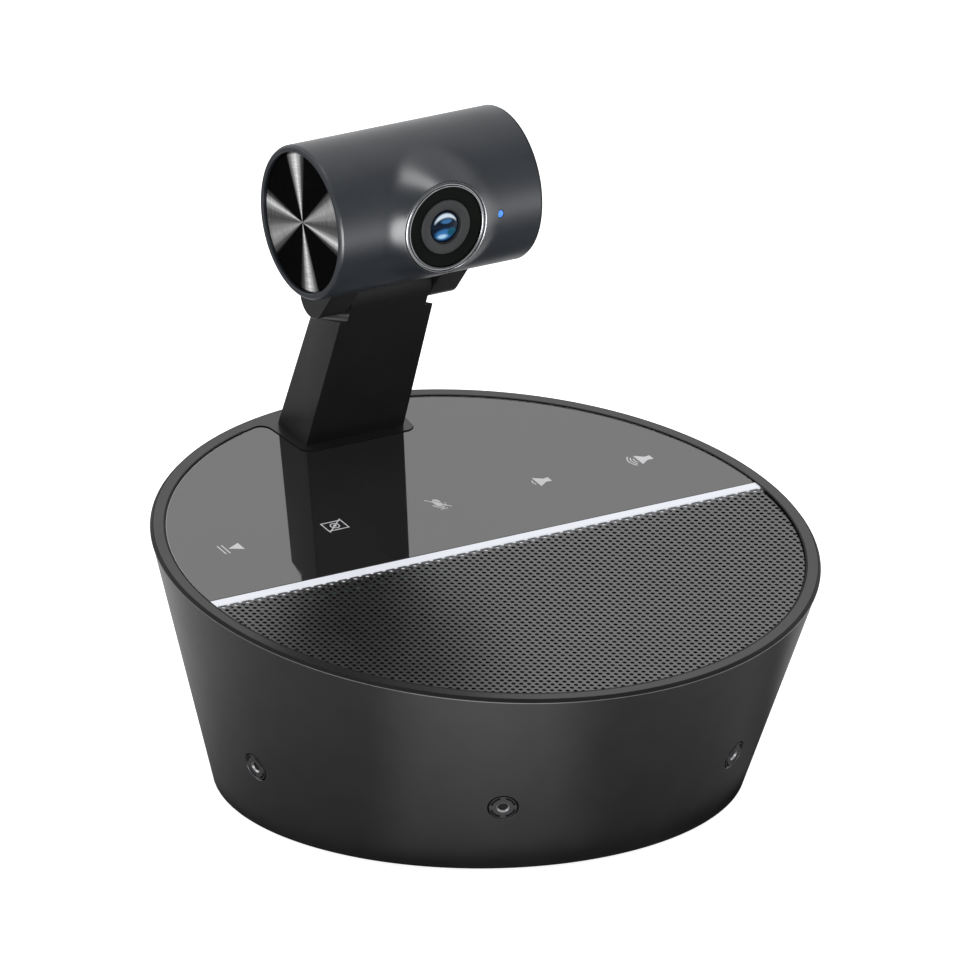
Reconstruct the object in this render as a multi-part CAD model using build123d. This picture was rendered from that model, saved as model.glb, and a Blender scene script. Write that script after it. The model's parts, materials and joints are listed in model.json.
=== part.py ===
from build123d import *
import os
from math import atan, cos, radians, sin, sqrt

# Conference speakerphone: a leaning round base with a speaker, touch keys and six microphones,
# and a camera barrel on a short arm that tilts on a friction hinge.
# Frame: +Z up, the front faces -Y, the origin is on the desk under the middle of the top rim.

# Base: a straight cone leaning to the front, cut by the desk plane and by the tilted rim plane.
RIM_R = 90.0            # outer radius of the top rim
RIM_Z = 68.0            # height of the rim's centre
RIM_TILT = 7.93         # degrees, front edge low
BODY_Z = 0.8            # underside of the housing above the desk
CONE_R = 71.55          # cone radius at the underside, square to its axis
CONE_Y = 5.76           # where the cone axis meets the underside
CONE_LEAN = 5.71        # degrees, axis leans to the front
CONE_TAPER = 0.2791     # radius gained per millimetre along the axis
WALL = 2.5
RIM_CHAMFER = 0.8
BODY_FILLET = 0.8

# Rim window and what fills it, as heights from the rim plane (negative is down).
WINDOW_R = 86.25
TAB_FRONT = 64.8        # front edge of the tab that carries the arm
TAB_HALF_FRONT = 17.6
TAB_HALF_BACK = 19.8
TAB_CORNER_R = 3.0
PANEL_TOP = -0.3
GRILLE_TOP = -0.6
LEDGE_TOP = -1.5
DECK_TOP = -3.0
DECK_LOW = -5.6
LEDGE_W = 5.0
SEAT_GAP = 0.12         # gap round the glass, the light bar and the grille
BAR_FRONT = -3.46       # front and back edges of the light bar
BAR_BACK = 0.63

# Bottom plate, feet and screws.
PLATE_TOP = 3.0
FLANGE_TOP = 5.0
FLANGE_R = 61.0
FOOT_IN_R = 52.0
FOOT_OUT_R = 58.5
FOOT_Y = 3.8            # centre of the round underside
PLATE_SCREW_R = 64.6
PLATE_SCREWS = 6

# Speaker under the grille, on an axis square to the rim plane.
SPEAKER_V = -42.0
SPEAKER_R = 37.5
SPEAKER_HOLE_R = 33.0
CONE_EDGE_R = 27.0
BASKET_LOW = DECK_LOW - 18.6
COIL_R = 9.0

# Microphones in the wall.
MIC_Z = 21.3
MIC_ANGLES = (-136.4, -81.9, -27.3, 27.3, 81.9, 136.4)
MIC_PLUG_R = 4.2
MIC_SEAT = WALL + 0.2    # depth of the plug, clear of the curved inner wall

# Touch keys and their board.
KEY_PITCH = 32.5
KEY_V = 24.7
KEY_R = 4.0
KEYS = 5

# Main board and the two sockets at the back.
BOARD_Z = 14.0
BOARD_T = 1.6
BOARD_R = 50.0
BOARD_Y = 6.0
POST_X = 34.0
POST_Y = 28.0
USB_Z = 17.4
JACK_X = 20.0
JACK_Z = 18.6
HEADER_H = 2.4

# Arm: its own frame has z along the arm and y to its back, from the middle of the foot.
ARM_Y = 74.6
ARM_Z = 78.3
ARM_LEAN = 22.4
ARM_FRONT = -7.1
ARM_BACK = 7.1
ARM_BACK_TAPER = 0.033
ARM_HALF_FOOT = 15.5
ARM_HALF_TOP = 14.6
SHOULDER_FRONT = 45.5
SHOULDER_BACK = 36.7
ARM_WALL = 2.2
ARM_CAVITY_TOP = 33.0
TONGUE_HALF = 12.3

# Hinge of the camera head, along X.
HINGE_Y = 54.1
HINGE_Z = 125.3
KNUCKLE_R = 6.15
PIN_R = 2.8
PIN_LEFT = -15.0
PIN_RIGHT = 19.0
EAR_IN = 12.7
EAR_OUT = 21.65
EAR_FACE_LEAN = 39.8    # degrees, front face of the ears from the vertical
CABLE_R = 0.8

# Camera head.
HEAD_Y = 42.9
HEAD_Z = 151.6
HEAD_R = 21.2
HEAD_L = 63.6
HEAD_IN_R = 19.35
LENS_Z = 151.3
RING_Y = 19.7           # front of the lens ring
RING_R = 12.8
RING_IN_R = 11.15
BEZEL_R = 7.6
LENS_R = 4.35
LED_X = 17.9
LED_R = 0.75

MIN = Align.MIN
MID = Align.CENTER
MAX = Align.MAX
BIG = 400.0
UP = (MID, MID, MIN)
DOWN = (MID, MID, MAX)


def leaning_plane(y, z, degrees):
    """A plane through (0, y, z) whose normal leans to the front by so many degrees."""
    lean = radians(degrees)
    return Plane(origin=(0, y, z), x_dir=(1, 0, 0), z_dir=(0, -sin(lean), cos(lean)))


RIM = leaning_plane(0, RIM_Z, RIM_TILT)
AXIS = leaning_plane(CONE_Y, BODY_Z, CONE_LEAN)
ARM = leaning_plane(ARM_Y, ARM_Z, ARM_LEAN)
SPEAKER = RIM * Pos(0, SPEAKER_V, 0)


def save(shape, node):
    export_step(shape, f"parts/{node}.step")


def joined(solids):
    """One compound that keeps separate solids separate."""
    return Compound(children=[piece for shape in solids for piece in shape.solids()])


def slab(sketch, low, high):
    """A flat sketch made solid from one height to another."""
    return Pos(0, 0, low) * extrude(sketch, high - low)


def disc(radius, low, high):
    return Pos(0, 0, low) * Cylinder(radius, high - low, align=UP)


def tube(outer, inner, low, high):
    return disc(outer, low, high) - disc(inner, low - 1, high + 1)


def block(x, y, z):
    """A box from (low, high) pairs along X, Y and Z."""
    size = [pair[1] - pair[0] for pair in (x, y, z)]
    return Pos(x[0], y[0], z[0]) * Box(*size, align=(MIN, MIN, MIN))


def rod_x(radius, low, high, y, z):
    return Pos(low, y, z) * Rot(0, 90, 0) * Cylinder(radius, high - low, align=UP)


def rod_y(radius, low, high, x, z):
    return Pos(x, low, z) * Rot(-90, 0, 0) * Cylinder(radius, high - low, align=UP)


def ring_y(outer, inner, low, high, x=0.0, z=LENS_Z):
    return rod_y(outer, low, high, x, z) - rod_y(inner, low - 1, high + 1, x, z)


def screw(head_r, shank_r, head_low, head_high, shank_high):
    """A screw pointing up: its head below and its shank above."""
    return disc(head_r, head_low, head_high) + disc(shank_r, head_high, shank_high)


def turned(points):
    """A solid of revolution about Z from (radius, height) points."""
    outline = make_face(Polyline(*[(r, 0, z) for r, z in points], close=True))
    return revolve(outline, Axis.Z)


def wire_rod(points, radii, radius):
    """A round cable along straight runs joined by arcs."""
    path = FilletPolyline(*points, radius=radii)
    return sweep(Plane(origin=path @ 0, z_dir=path % 0) * Circle(radius), path)


def body_cone(inset):
    """The base's cone with its wall moved in by inset."""
    low = -20.0
    high = 120.0
    cut = inset / cos(atan(CONE_TAPER))
    low_r = CONE_R + CONE_TAPER * low - cut
    high_r = CONE_R + CONE_TAPER * high - cut
    return AXIS * Pos(0, 0, low) * Cone(low_r, high_r, high - low, align=UP)


def cut_cone(inset, z_low, rim_high):
    """The cone between a level plane and a plane parallel to the rim."""
    below = Pos(0, 0, z_low) * Box(BIG, BIG, BIG, align=DOWN)
    above = RIM * Pos(0, 0, rim_high) * Box(BIG, BIG, BIG, align=UP)
    return body_cone(inset) - below - above


def wall_place(angle, z):
    """The plane on the outer wall at an angle from the front, its normal pointing out."""
    lean = radians(CONE_LEAN)
    turn = radians(angle)
    drop = cos(turn) * sin(lean)
    along = (z - BODY_Z + CONE_R * drop) / (cos(lean) - CONE_TAPER * drop)
    radial = Vector(sin(turn), -cos(turn) * cos(lean), -drop)
    axis = Vector(0, -sin(lean), cos(lean))
    point = Vector(0, CONE_Y, BODY_Z) + axis * along + radial * (CONE_R + CONE_TAPER * along)
    return Plane(origin=point, x_dir=radial.cross(axis), z_dir=radial - axis * CONE_TAPER)


def window(inset):
    """The opening inside the rim, with the tab for the arm left standing at the back."""
    front = TAB_FRONT - inset
    tab = make_face(Polyline(
        (-TAB_HALF_FRONT - inset, front), (TAB_HALF_FRONT + inset, front),
        (TAB_HALF_BACK + inset, RIM_R), (-TAB_HALF_BACK - inset, RIM_R), close=True))
    opening = Circle(WINDOW_R - inset) - tab
    corners = opening.vertices().filter_by(lambda vertex: vertex.Y > TAB_FRONT - inset - 1)
    return fillet(corners, TAB_CORNER_R)


def band(front, back):
    """A strip across the base between two distances along the rim plane."""
    return Pos(0, front) * Rectangle(2 * BIG, back - front, align=(MID, MIN))


def arm_passage():
    """The slot through the tab and the deck for the arm's bracket and cable."""
    return ARM * block((-9.0, 9.0), (-4.5, 4.6), (-16.0, 3.0))


def mic_hole(angle):
    return wall_place(angle, MIC_Z) * disc(MIC_PLUG_R, -WALL - 2.0, 2.0)


def polar(count, radius, first=0.0):
    """Places on a circle, evenly spaced."""
    return [Rot(0, 0, first + 360.0 * i / count) * Pos(radius, 0, 0) for i in range(count)]


def plate_screw_places():
    return [Pos(0, FOOT_Y, 0) * place for place in polar(PLATE_SCREWS, PLATE_SCREW_R, 30.0)]


def housing():
    outside = cut_cone(0, BODY_Z, 0)
    outside = fillet(outside.edges().sort_by(Axis.Z)[0], BODY_FILLET)
    rim_axis = Axis((0, 0, RIM_Z), RIM.z_dir)
    outside = chamfer(outside.edges().sort_by(rim_axis)[-1], RIM_CHAMFER)
    shell = outside - cut_cone(WALL, BODY_Z - 5, DECK_TOP)
    shell -= RIM * slab(window(0), LEDGE_TOP, 5)
    shell -= RIM * slab(window(LEDGE_W), DECK_TOP - 1, 5)
    flange = cut_cone(WALL - 0.5, PLATE_TOP, 0) & Pos(0, 0, PLATE_TOP) * Box(
        BIG, BIG, FLANGE_TOP - PLATE_TOP, align=UP)
    flange -= Pos(0, FOOT_Y, 0) * disc(FLANGE_R, 0, FLANGE_TOP + 1)
    shell += flange
    for place in plate_screw_places():
        shell += place * disc(3.6, PLATE_TOP, 9.5)
    for place in plate_screw_places():
        shell -= place * disc(1.4, 0, 8.5)
    for angle in MIC_ANGLES:
        shell -= mic_hole(angle)
    for place in deck_screw_places():
        shell -= place * disc(1.0, DECK_TOP - 1, LEDGE_TOP - 0.3)
    for place in foot_screw_places():
        shell -= place * disc(1.4, DECK_TOP - 1, -0.9)
    shell -= arm_passage()
    shell -= Pos(0, 70, USB_Z) * Box(9.6, 30, 3.8)
    shell -= rod_y(3.1, 60, 90, JACK_X, JACK_Z)
    return shell


def base_plate():
    plate = cut_cone(WALL + 0.15, BODY_Z, 0) - Pos(0, 0, PLATE_TOP) * Box(BIG, BIG, BIG, align=UP)
    plate -= Pos(0, FOOT_Y, 0) * tube(FOOT_OUT_R, FOOT_IN_R, 0, 2.0)
    for place in plate_screw_places():
        plate -= place * disc(2.9, 0, 2.2)
        plate -= place * disc(1.4, 0, 5)
    for place in board_post_places():
        plate += place * disc(3.2, PLATE_TOP, BOARD_Z)
    for place in board_post_places():
        plate -= place * disc(1.2, 7.0, BOARD_Z + 1)
    return plate


def foot_ring():
    return Pos(0, FOOT_Y, 0) * tube(FOOT_OUT_R, FOOT_IN_R, 0, 2.0)


def plate_screws():
    return joined([place * screw(2.7, 1.4, 1.1, 2.2, 8.0) for place in plate_screw_places()])


def deck_screw_places():
    return [RIM * place for place in polar(6, WINDOW_R - 3.2)]


def foot_screw_places():
    return [RIM * Pos(x, v, 0) for x in (-13.0, 13.0) for v in (69.0, 79.5)]


def deck_plate():
    plate = slab(Circle(WINDOW_R - 1.0), DECK_LOW, DECK_TOP)
    plate -= slab(Pos(0, SPEAKER_V) * Circle(SPEAKER_HOLE_R), DECK_LOW - 1, DECK_TOP + 1)
    plate -= block((-76, 76), (BAR_FRONT - 1, BAR_BACK + 1), (DECK_TOP - 1.4, DECK_TOP + 1))
    plate = RIM * plate
    for place in deck_screw_places():
        plate -= place * disc(1.0, DECK_LOW - 1, DECK_TOP + 1)
    for place in foot_screw_places():
        plate -= place * disc(1.4, DECK_LOW - 1, DECK_TOP + 1)
    for place in speaker_screw_places():
        plate -= place * disc(1.1, DECK_LOW - 1, DECK_LOW + 1.8)
    return plate - arm_passage()


def deck_screws():
    return joined([place * screw(1.9, 1.0, DECK_LOW - 1.3, DECK_LOW, LEDGE_TOP - 0.4)
                   for place in deck_screw_places()])


def touch_panel():
    outline = window(SEAT_GAP) & band(BAR_BACK + SEAT_GAP, BIG)
    return RIM * slab(outline, LEDGE_TOP, PANEL_TOP)


def touch_icons():
    left = -KEY_PITCH * (KEYS - 1) / 2
    marks = [RIM * Pos(left + KEY_PITCH * i, KEY_V, 0) * disc(KEY_R, PANEL_TOP, PANEL_TOP + 0.06)
             for i in range(KEYS)]
    return joined(marks)


def touch_board():
    return RIM * block((-72, 72), (KEY_V - 9, KEY_V + 9), (LEDGE_TOP - 1.2, LEDGE_TOP))


def light_bar():
    chord = window(SEAT_GAP) & band(BAR_FRONT, BAR_BACK)
    top = slab(chord, LEDGE_TOP, PANEL_TOP)
    stem = block((-76, 76), (BAR_FRONT, BAR_BACK), (DECK_TOP, LEDGE_TOP))
    return RIM * (top + stem)


def light_board():
    return RIM * block((-75.5, 75.5), (BAR_FRONT - 0.6, BAR_BACK + 0.6),
                       (DECK_TOP - 1.4, DECK_TOP - 0.6))


def light_leds():
    middle = (BAR_FRONT + BAR_BACK) / 2
    chips = [RIM * block((x - 1.5, x + 1.5), (middle - 0.8, middle + 0.8),
                         (DECK_TOP - 0.6, DECK_TOP - 0.05)) for x in range(-70, 71, 14)]
    return joined(chips)


def speaker_grille():
    outline = window(SEAT_GAP) & band(-BIG, BAR_FRONT - SEAT_GAP)
    return RIM * slab(outline, LEDGE_TOP, GRILLE_TOP)


def speaker_cloth():
    outline = Pos(0, SPEAKER_V) * Circle(SPEAKER_R)
    return RIM * slab(outline & band(-BIG, BAR_FRONT - 0.5), LEDGE_TOP - 0.5, LEDGE_TOP)


def speaker_screw_places():
    return [SPEAKER * place for place in polar(4, SPEAKER_R - 2.4, 45.0)]


def speaker_basket():
    frame = turned([(SPEAKER_HOLE_R - 0.2, DECK_LOW), (SPEAKER_R, DECK_LOW),
                    (SPEAKER_R, DECK_LOW - 2.0), (SPEAKER_HOLE_R, DECK_LOW - 2.0),
                    (21.8, BASKET_LOW + 1.6), (21.8, BASKET_LOW), (11.0, BASKET_LOW),
                    (11.0, BASKET_LOW + 1.2), (20.4, BASKET_LOW + 1.2),
                    (SPEAKER_HOLE_R - 1.4, DECK_LOW - 1.4),
                    (SPEAKER_HOLE_R - 0.2, DECK_LOW - 1.4)])
    for turn in range(4):
        frame -= Rot(0, 0, 90.0 * turn) * block((12.0, 31.0), (-9.0, 9.0),
                                               (DECK_LOW - 16.0, DECK_LOW - 4.0))
    frame = SPEAKER * frame
    for place in speaker_screw_places():
        frame -= place * disc(1.1, DECK_LOW - 5, DECK_LOW + 1)
    return frame


def speaker_surround():
    """Half-roll rubber edge between the cone and the basket."""
    middle = (CONE_EDGE_R + 0.4 + SPEAKER_HOLE_R - 0.4) / 2
    roll = Pos(0, 0, DECK_LOW - 0.8) * Torus(middle, 2.4)
    roll &= disc(SPEAKER_HOLE_R - 0.4, DECK_LOW - 0.8, DECK_LOW + 3)
    roll -= Pos(0, 0, DECK_LOW - 0.8) * Torus(middle, 1.8)
    lip = tube(SPEAKER_HOLE_R - 0.25, middle + 1.8, DECK_LOW - 1.4, DECK_LOW - 0.8)
    return SPEAKER * (roll + lip)


def speaker_magnet():
    """Back plate, pole and ring magnet with the ring-shaped gap for the voice coil."""
    low = DECK_LOW - 30.0
    top = BASKET_LOW
    return SPEAKER * turned([(0, low), (22.0, low), (22.0, top), (COIL_R + 1.6, top),
                             (COIL_R + 1.6, low + 3), (COIL_R - 1.0, low + 3),
                             (COIL_R - 1.0, top), (0, top)])


def speaker_cone():
    """Paper cone, moving with the coil and the dust cap."""
    edge = DECK_LOW - 1.6
    neck = DECK_LOW - 13.0
    return SPEAKER * turned([(COIL_R, neck), (CONE_EDGE_R, edge), (CONE_EDGE_R, edge + 0.7),
                             (COIL_R, neck + 0.7)])


def voice_coil():
    return SPEAKER * tube(COIL_R, COIL_R - 0.6, DECK_LOW - 25.0, DECK_LOW - 12.3)


def dust_cap():
    rise = 3.0
    ball_r = (COIL_R ** 2 + rise ** 2) / (2 * rise)
    low = DECK_LOW - 12.3
    centre = low + rise - ball_r
    dome = Pos(0, 0, centre) * (Sphere(ball_r) - Sphere(ball_r - 0.6))
    return SPEAKER * (dome & disc(COIL_R, low, low + rise + 1))


def speaker_screws():
    return joined([place * screw(2.0, 1.1, DECK_LOW - 3.4, DECK_LOW - 2.0, DECK_LOW + 1.6)
                   for place in speaker_screw_places()])


def mic_plugs():
    """Round inserts with a bevelled sound hole and four groove arcs."""
    spokes = Rectangle(10, 1.1) + Rectangle(1.1, 10)
    groove = Circle(3.5) - Circle(3.05) - Rot(0, 0, 45) * spokes
    plug = disc(MIC_PLUG_R, -MIC_SEAT, 0) - disc(0.8, -MIC_SEAT - 1, 1)
    plug -= Pos(0, 0, -0.8) * Cone(0.8, 1.65, 0.85, align=UP)
    plug -= slab(groove, -0.4, 1)
    return joined([wall_place(angle, MIC_Z) * plug for angle in MIC_ANGLES])


def mic_boots():
    boot = tube(4.8, 0.9, -MIC_SEAT - 2.3, -MIC_SEAT)
    return joined([wall_place(angle, MIC_Z) * boot for angle in MIC_ANGLES])


def mic_capsules():
    capsule = disc(3.0, -MIC_SEAT - 3.9, -MIC_SEAT - 2.3)
    return joined([wall_place(angle, MIC_Z) * capsule for angle in MIC_ANGLES])


def mic_boards():
    card = Pos(0, 0, -MIC_SEAT - 4.9) * Box(11, 9, 1.0, align=UP)
    return joined([wall_place(angle, MIC_Z) * card for angle in MIC_ANGLES])


def board_post_places():
    return [Pos(x, BOARD_Y + y, 0) for x in (-POST_X, POST_X) for y in (-POST_Y, POST_Y)]


def main_board():
    board = slab(Pos(0, BOARD_Y) * Circle(BOARD_R), BOARD_Z, BOARD_Z + BOARD_T)
    board += block((-27, 27), (50, 66), (BOARD_Z, BOARD_Z + BOARD_T))
    for place in board_post_places():
        board -= place * disc(1.2, 0, BIG)
    return board


def board_screws():
    upright = Pos(0, 0, BOARD_Z + BOARD_T) * (disc(2.4, 0, 1.5) + disc(1.2, -7.0, 0))
    return joined([place * upright for place in board_post_places()])


def processor():
    top = BOARD_Z + BOARD_T
    return block((-8, 8), (2, 18), (top, top + 1.8))


def heat_sink():
    low = BOARD_Z + BOARD_T + 1.8
    sink = block((-11, 11), (-1, 21), (low, low + 1.6))
    for i in range(7):
        x = -11 + 3.5 * i
        sink += block((x, x + 1.0), (-1, 21), (low, low + 7.0))
    return sink


def shield_can():
    top = BOARD_Z + BOARD_T
    return (block((-38, -16), (0, 16), (top, top + 2.6))
            - block((-37.7, -16.3), (0.3, 15.7), (top - 1, top + 2.3)))


def capacitors():
    top = BOARD_Z + BOARD_T
    return joined([Pos(x, y, 0) * disc(3.2, top, top + 7.0)
                   for x, y in ((22, 2), (22, 10), (30, 6), (22, 36), (-22, 36))])


def cable_header():
    top = BOARD_Z + BOARD_T
    return block((-4, 4), (44.5, 50.5), (top, top + HEADER_H))


def usb_socket():
    """Type-C receptacle: a steel shell round a contact tongue."""
    front = 74.6
    back = 66.2
    shell = Pos(0, back, USB_Z) * Box(9.0, front - back, 3.3, align=(MID, MIN, MID))
    shell -= Pos(0, back + 1.0, USB_Z) * Box(8.3, front, 2.6, align=(MID, MIN, MID))
    return shell + Pos(0, back, USB_Z) * Box(6.7, 6.5, 0.7, align=(MID, MIN, MID))


def audio_jack():
    """3.5 mm socket with a collar that fills the hole in the wall."""
    body = block((JACK_X - 3.4, JACK_X + 3.4), (57.5, 69.5), (BOARD_Z + BOARD_T, BOARD_Z + 8.0))
    body += rod_y(3.0, 69.5, 72.6, JACK_X, JACK_Z)
    return body - rod_y(1.8, 59.0, 80.0, JACK_X, JACK_Z)


def arm_back_line(z):
    """The arm's back face, which tapers towards the top."""
    return ARM_BACK - ARM_BACK_TAPER * z


def arm_outline(inset, low, high_front, high_back):
    """Side view of the arm in its own frame, as (y, z) points."""
    return [(ARM_FRONT + inset, low), (ARM_FRONT + inset, high_front),
            (arm_back_line(high_back) - inset, high_back), (arm_back_line(low) - inset, low)]


def side_plate(points, half):
    """A plate of constant width from a side outline in the arm's frame."""
    face = make_face(Polyline(*[(0, y, z) for y, z in points], close=True))
    return ARM * extrude(face, half, dir=(1, 0, 0), both=True)


def above_rim():
    return RIM * Box(BIG, BIG, BIG, align=UP)


def arm_body():
    low = -12.0
    bar = side_plate(arm_outline(0, low, SHOULDER_FRONT, SHOULDER_BACK), ARM_HALF_FOOT)
    front_view = make_face(Polyline(
        (-ARM_HALF_FOOT, 0, 0), (ARM_HALF_FOOT, 0, 0), (ARM_HALF_TOP, 0, SHOULDER_FRONT),
        (-ARM_HALF_TOP, 0, SHOULDER_FRONT), close=True))
    foot_view = make_face(Polyline(
        (-ARM_HALF_FOOT, 0, low), (ARM_HALF_FOOT, 0, low), (ARM_HALF_FOOT, 0, 0),
        (-ARM_HALF_FOOT, 0, 0), close=True))
    bar &= ARM * extrude(front_view + foot_view, 30, dir=(0, 1, 0), both=True)
    bar &= above_rim()
    cavity = side_plate([(ARM_FRONT + ARM_WALL, low - 1), (ARM_FRONT + ARM_WALL, ARM_CAVITY_TOP),
                         (20, ARM_CAVITY_TOP), (20, low - 1)], 11.5)
    body = bar - cavity + tongue()
    body -= rod_x(PIN_R, -BIG / 2, BIG / 2, HINGE_Y, HINGE_Z)
    return body - arm_cable(CABLE_R + 0.5)


def tongue():
    """Middle of the arm's top, which carries the hinge pin between the ears."""
    lean = radians(ARM_LEAN)
    hinge_y = (HINGE_Y - ARM_Y) * cos(lean) + (HINGE_Z - ARM_Z) * sin(lean)
    hinge_z = (HINGE_Z - ARM_Z) * cos(lean) - (HINGE_Y - ARM_Y) * sin(lean)
    top = hinge_z + 2.4
    bevel = 0.7
    web = side_plate([(ARM_FRONT, SHOULDER_BACK - 1), (ARM_FRONT, top - bevel),
                      (ARM_FRONT + bevel, top), (hinge_y, hinge_z), (hinge_y + 5.9, hinge_z),
                      (arm_back_line(SHOULDER_BACK), SHOULDER_BACK - 1)], TONGUE_HALF)
    barrel = rod_x(KNUCKLE_R + 0.2, -TONGUE_HALF, TONGUE_HALF, HINGE_Y, HINGE_Z)
    return web + barrel


def arm_cover():
    gap = 0.1
    low = -12.0
    high = ARM_CAVITY_TOP - gap
    outline = [(arm_back_line(low) - 1.8, low), (arm_back_line(high) - 1.8, high),
               (arm_back_line(high), high), (arm_back_line(low), low)]
    return side_plate(outline, 11.5 - gap) & above_rim()


def arm_bracket():
    """Steel spine of the arm with its foot under the deck."""
    spine = ARM * block((-7.5, 7.5), (1.6, 3.2), (-9.4, 31.0))
    foot = RIM * block((-17, 17), (65.5, 83.5), (DECK_LOW - 1.6, DECK_LOW))
    bracket = spine + foot
    for place in foot_screw_places():
        bracket -= place * disc(1.4, DECK_LOW - 3, DECK_LOW + 1)
    below = RIM * Pos(0, 0, DECK_LOW - 1.6) * Box(BIG, BIG, BIG, align=DOWN)
    return bracket - below - arm_cable(CABLE_R + 0.7)


def foot_screws():
    return joined([place * screw(2.5, 1.4, DECK_LOW - 3.4, DECK_LOW - 1.6, -1.0)
                   for place in foot_screw_places()])


def arm_cable(radius):
    """Camera lead: from the main board up the arm and into the hollow hinge pin."""
    lean = radians(ARM_LEAN)
    reach = 59.5
    low_y = HINGE_Y + reach * sin(lean)
    low_z = HINGE_Z - reach * cos(lean)
    header_y = 47.5
    header_top = BOARD_Z + BOARD_T + HEADER_H
    points = [(0, header_y, header_top), (0, header_y, header_top + 10), (0, 62.0, 42.0),
              (0, low_y, low_z), (0, HINGE_Y, HINGE_Z), (PIN_LEFT, HINGE_Y, HINGE_Z)]
    return wire_rod(points, [8.0, 12.0, 14.0, 3.0], radius)


def hinge_pin():
    """Hollow pin, fixed in the tongue and turning in the ears."""
    pin = rod_x(PIN_R, PIN_LEFT, PIN_RIGHT, HINGE_Y, HINGE_Z)
    return pin - arm_cable(CABLE_R + 0.5)


def washer_pair(radius, low, high):
    right = rod_x(radius, low, high, HINGE_Y, HINGE_Z)
    left = rod_x(radius, -high, -low, HINGE_Y, HINGE_Z)
    return right + left


def friction_washers():
    """Sprung discs in the ears that grip the tongue."""
    return joined([washer_pair(5.0, EAR_IN - 0.3, EAR_IN + 0.6)
                   - washer_pair(PIN_R + 0.05, EAR_IN - 1, EAR_IN + 1)])


def ear_outline():
    """Side view of an ear: a round knuckle widening up to the barrel."""
    lean = radians(EAR_FACE_LEAN)
    axis_turn = atan((HINGE_Y - HEAD_Y) / (HEAD_Z - HINGE_Z))
    back_lean = 2 * axis_turn - lean
    up = 22.0
    front = (HINGE_Y - KNUCKLE_R * cos(lean), HINGE_Z - KNUCKLE_R * sin(lean))
    back = (HINGE_Y + KNUCKLE_R * cos(back_lean), HINGE_Z + KNUCKLE_R * sin(back_lean))
    front_top = (front[0] - up * sin(lean), front[1] + up * cos(lean))
    back_top = (back[0] - up * sin(back_lean), back[1] + up * cos(back_lean))
    return [front, front_top, back_top, back, (HINGE_Y, HINGE_Z)]


def ears():
    face = make_face(Polyline(*[(0, y, z) for y, z in ear_outline()], close=True))
    pair = extrude(face, EAR_OUT, dir=(1, 0, 0), both=True)
    pair += rod_x(KNUCKLE_R, -EAR_OUT, EAR_OUT, HINGE_Y, HINGE_Z)
    return pair - Pos(0, HINGE_Y, HINGE_Z) * Box(2 * EAR_IN, 60, 60)


def head_shell():
    """Camera barrel with its lens boss and the two hinge ears."""
    outside = rod_x(HEAD_R, -HEAD_L / 2, HEAD_L / 2, HEAD_Y, HEAD_Z)
    outside = fillet(outside.edges().filter_by(GeomType.CIRCLE), 0.7)
    boss = Pos(0, 29.0, LENS_Z) * Rot(90, 0, 0) * Cone(18.2, 13.4, 29.0 - RING_Y - 0.4, align=UP)
    shell = outside + boss + ears()
    shell -= rod_x(HEAD_IN_R, -HEAD_L, HEAD_L, HEAD_Y, HEAD_Z)
    shell -= rod_y(RING_R, 0, 40, 0, LENS_Z)
    shell -= rod_y(LED_R, 0, 40, LED_X, LENS_Z)
    shell -= rod_x(PIN_R + 0.05, PIN_LEFT - 0.4, PIN_RIGHT + 0.6, HINGE_Y, HINGE_Z)
    shell -= washer_pair(5.1, EAR_IN - 1, EAR_IN + 0.6)
    shell -= rod_x(4.1, PIN_RIGHT + 0.6, EAR_OUT + 1, HINGE_Y, HINGE_Z)
    return shell - head_cable(CABLE_R + 0.4)


def pin_cap():
    return rod_x(4.0, PIN_RIGHT + 0.7, EAR_OUT, HINGE_Y, HINGE_Z)


def end_disc(side):
    """Spun metal disc set just inside the end of the barrel."""
    out = HEAD_L / 2 - 0.7
    low = min(side * out, side * (out - 1.2))
    return rod_x(HEAD_IN_R - 0.05, low, low + 1.2, HEAD_Y, HEAD_Z)


def lens_ring():
    """Bright trim ring with a fine groove between its two rims."""
    ring = ring_y(RING_R, RING_IN_R, RING_Y, RING_Y + 5.0)
    return ring - ring_y(12.15, 11.75, RING_Y - 1, RING_Y + 0.3)


def lens_window():
    return ring_y(RING_IN_R, BEZEL_R, RING_Y + 0.8, RING_Y + 2.0)


def lens_barrel():
    """Threaded lens body with its wide front collar."""
    barrel = rod_y(BEZEL_R, RING_Y + 0.5, RING_Y + 3.6, 0, LENS_Z)
    barrel += rod_y(6.0, RING_Y + 3.6, 36.0, 0, LENS_Z)
    return barrel - rod_y(LENS_R, 0, 50, 0, LENS_Z)


def dome_y(radius, rise, front, back):
    """A round lens along Y whose front bulges forward by rise."""
    ball_r = (radius ** 2 + rise ** 2) / (2 * rise)
    ball = Pos(0, front + ball_r, LENS_Z) * Sphere(ball_r)
    return ball & rod_y(radius, front - 1, back, 0, LENS_Z)


def front_lens():
    return dome_y(LENS_R, 1.6, RING_Y + 0.2, RING_Y + 3.4)


def inner_lenses():
    return joined([dome_y(LENS_R, 0.7, front, front + 2.2) for front in (25.6, 31.0)])


def lens_holder():
    holder = Pos(0, 38.6, LENS_Z) * Box(16, 2.8, 16)
    holder += rod_y(7.6, 28.0, 38.0, 0, LENS_Z)
    holder -= rod_y(6.0, 20.0, 36.0, 0, LENS_Z)
    return holder - Pos(0, 38.0, LENS_Z) * Box(9.2, 4.2, 9.2)


def infrared_filter():
    return Pos(0, 37.0, LENS_Z) * Box(9.0, 0.6, 9.0)


def image_sensor():
    return Pos(0, 39.3, LENS_Z) * Box(8.6, 1.4, 8.6)


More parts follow.
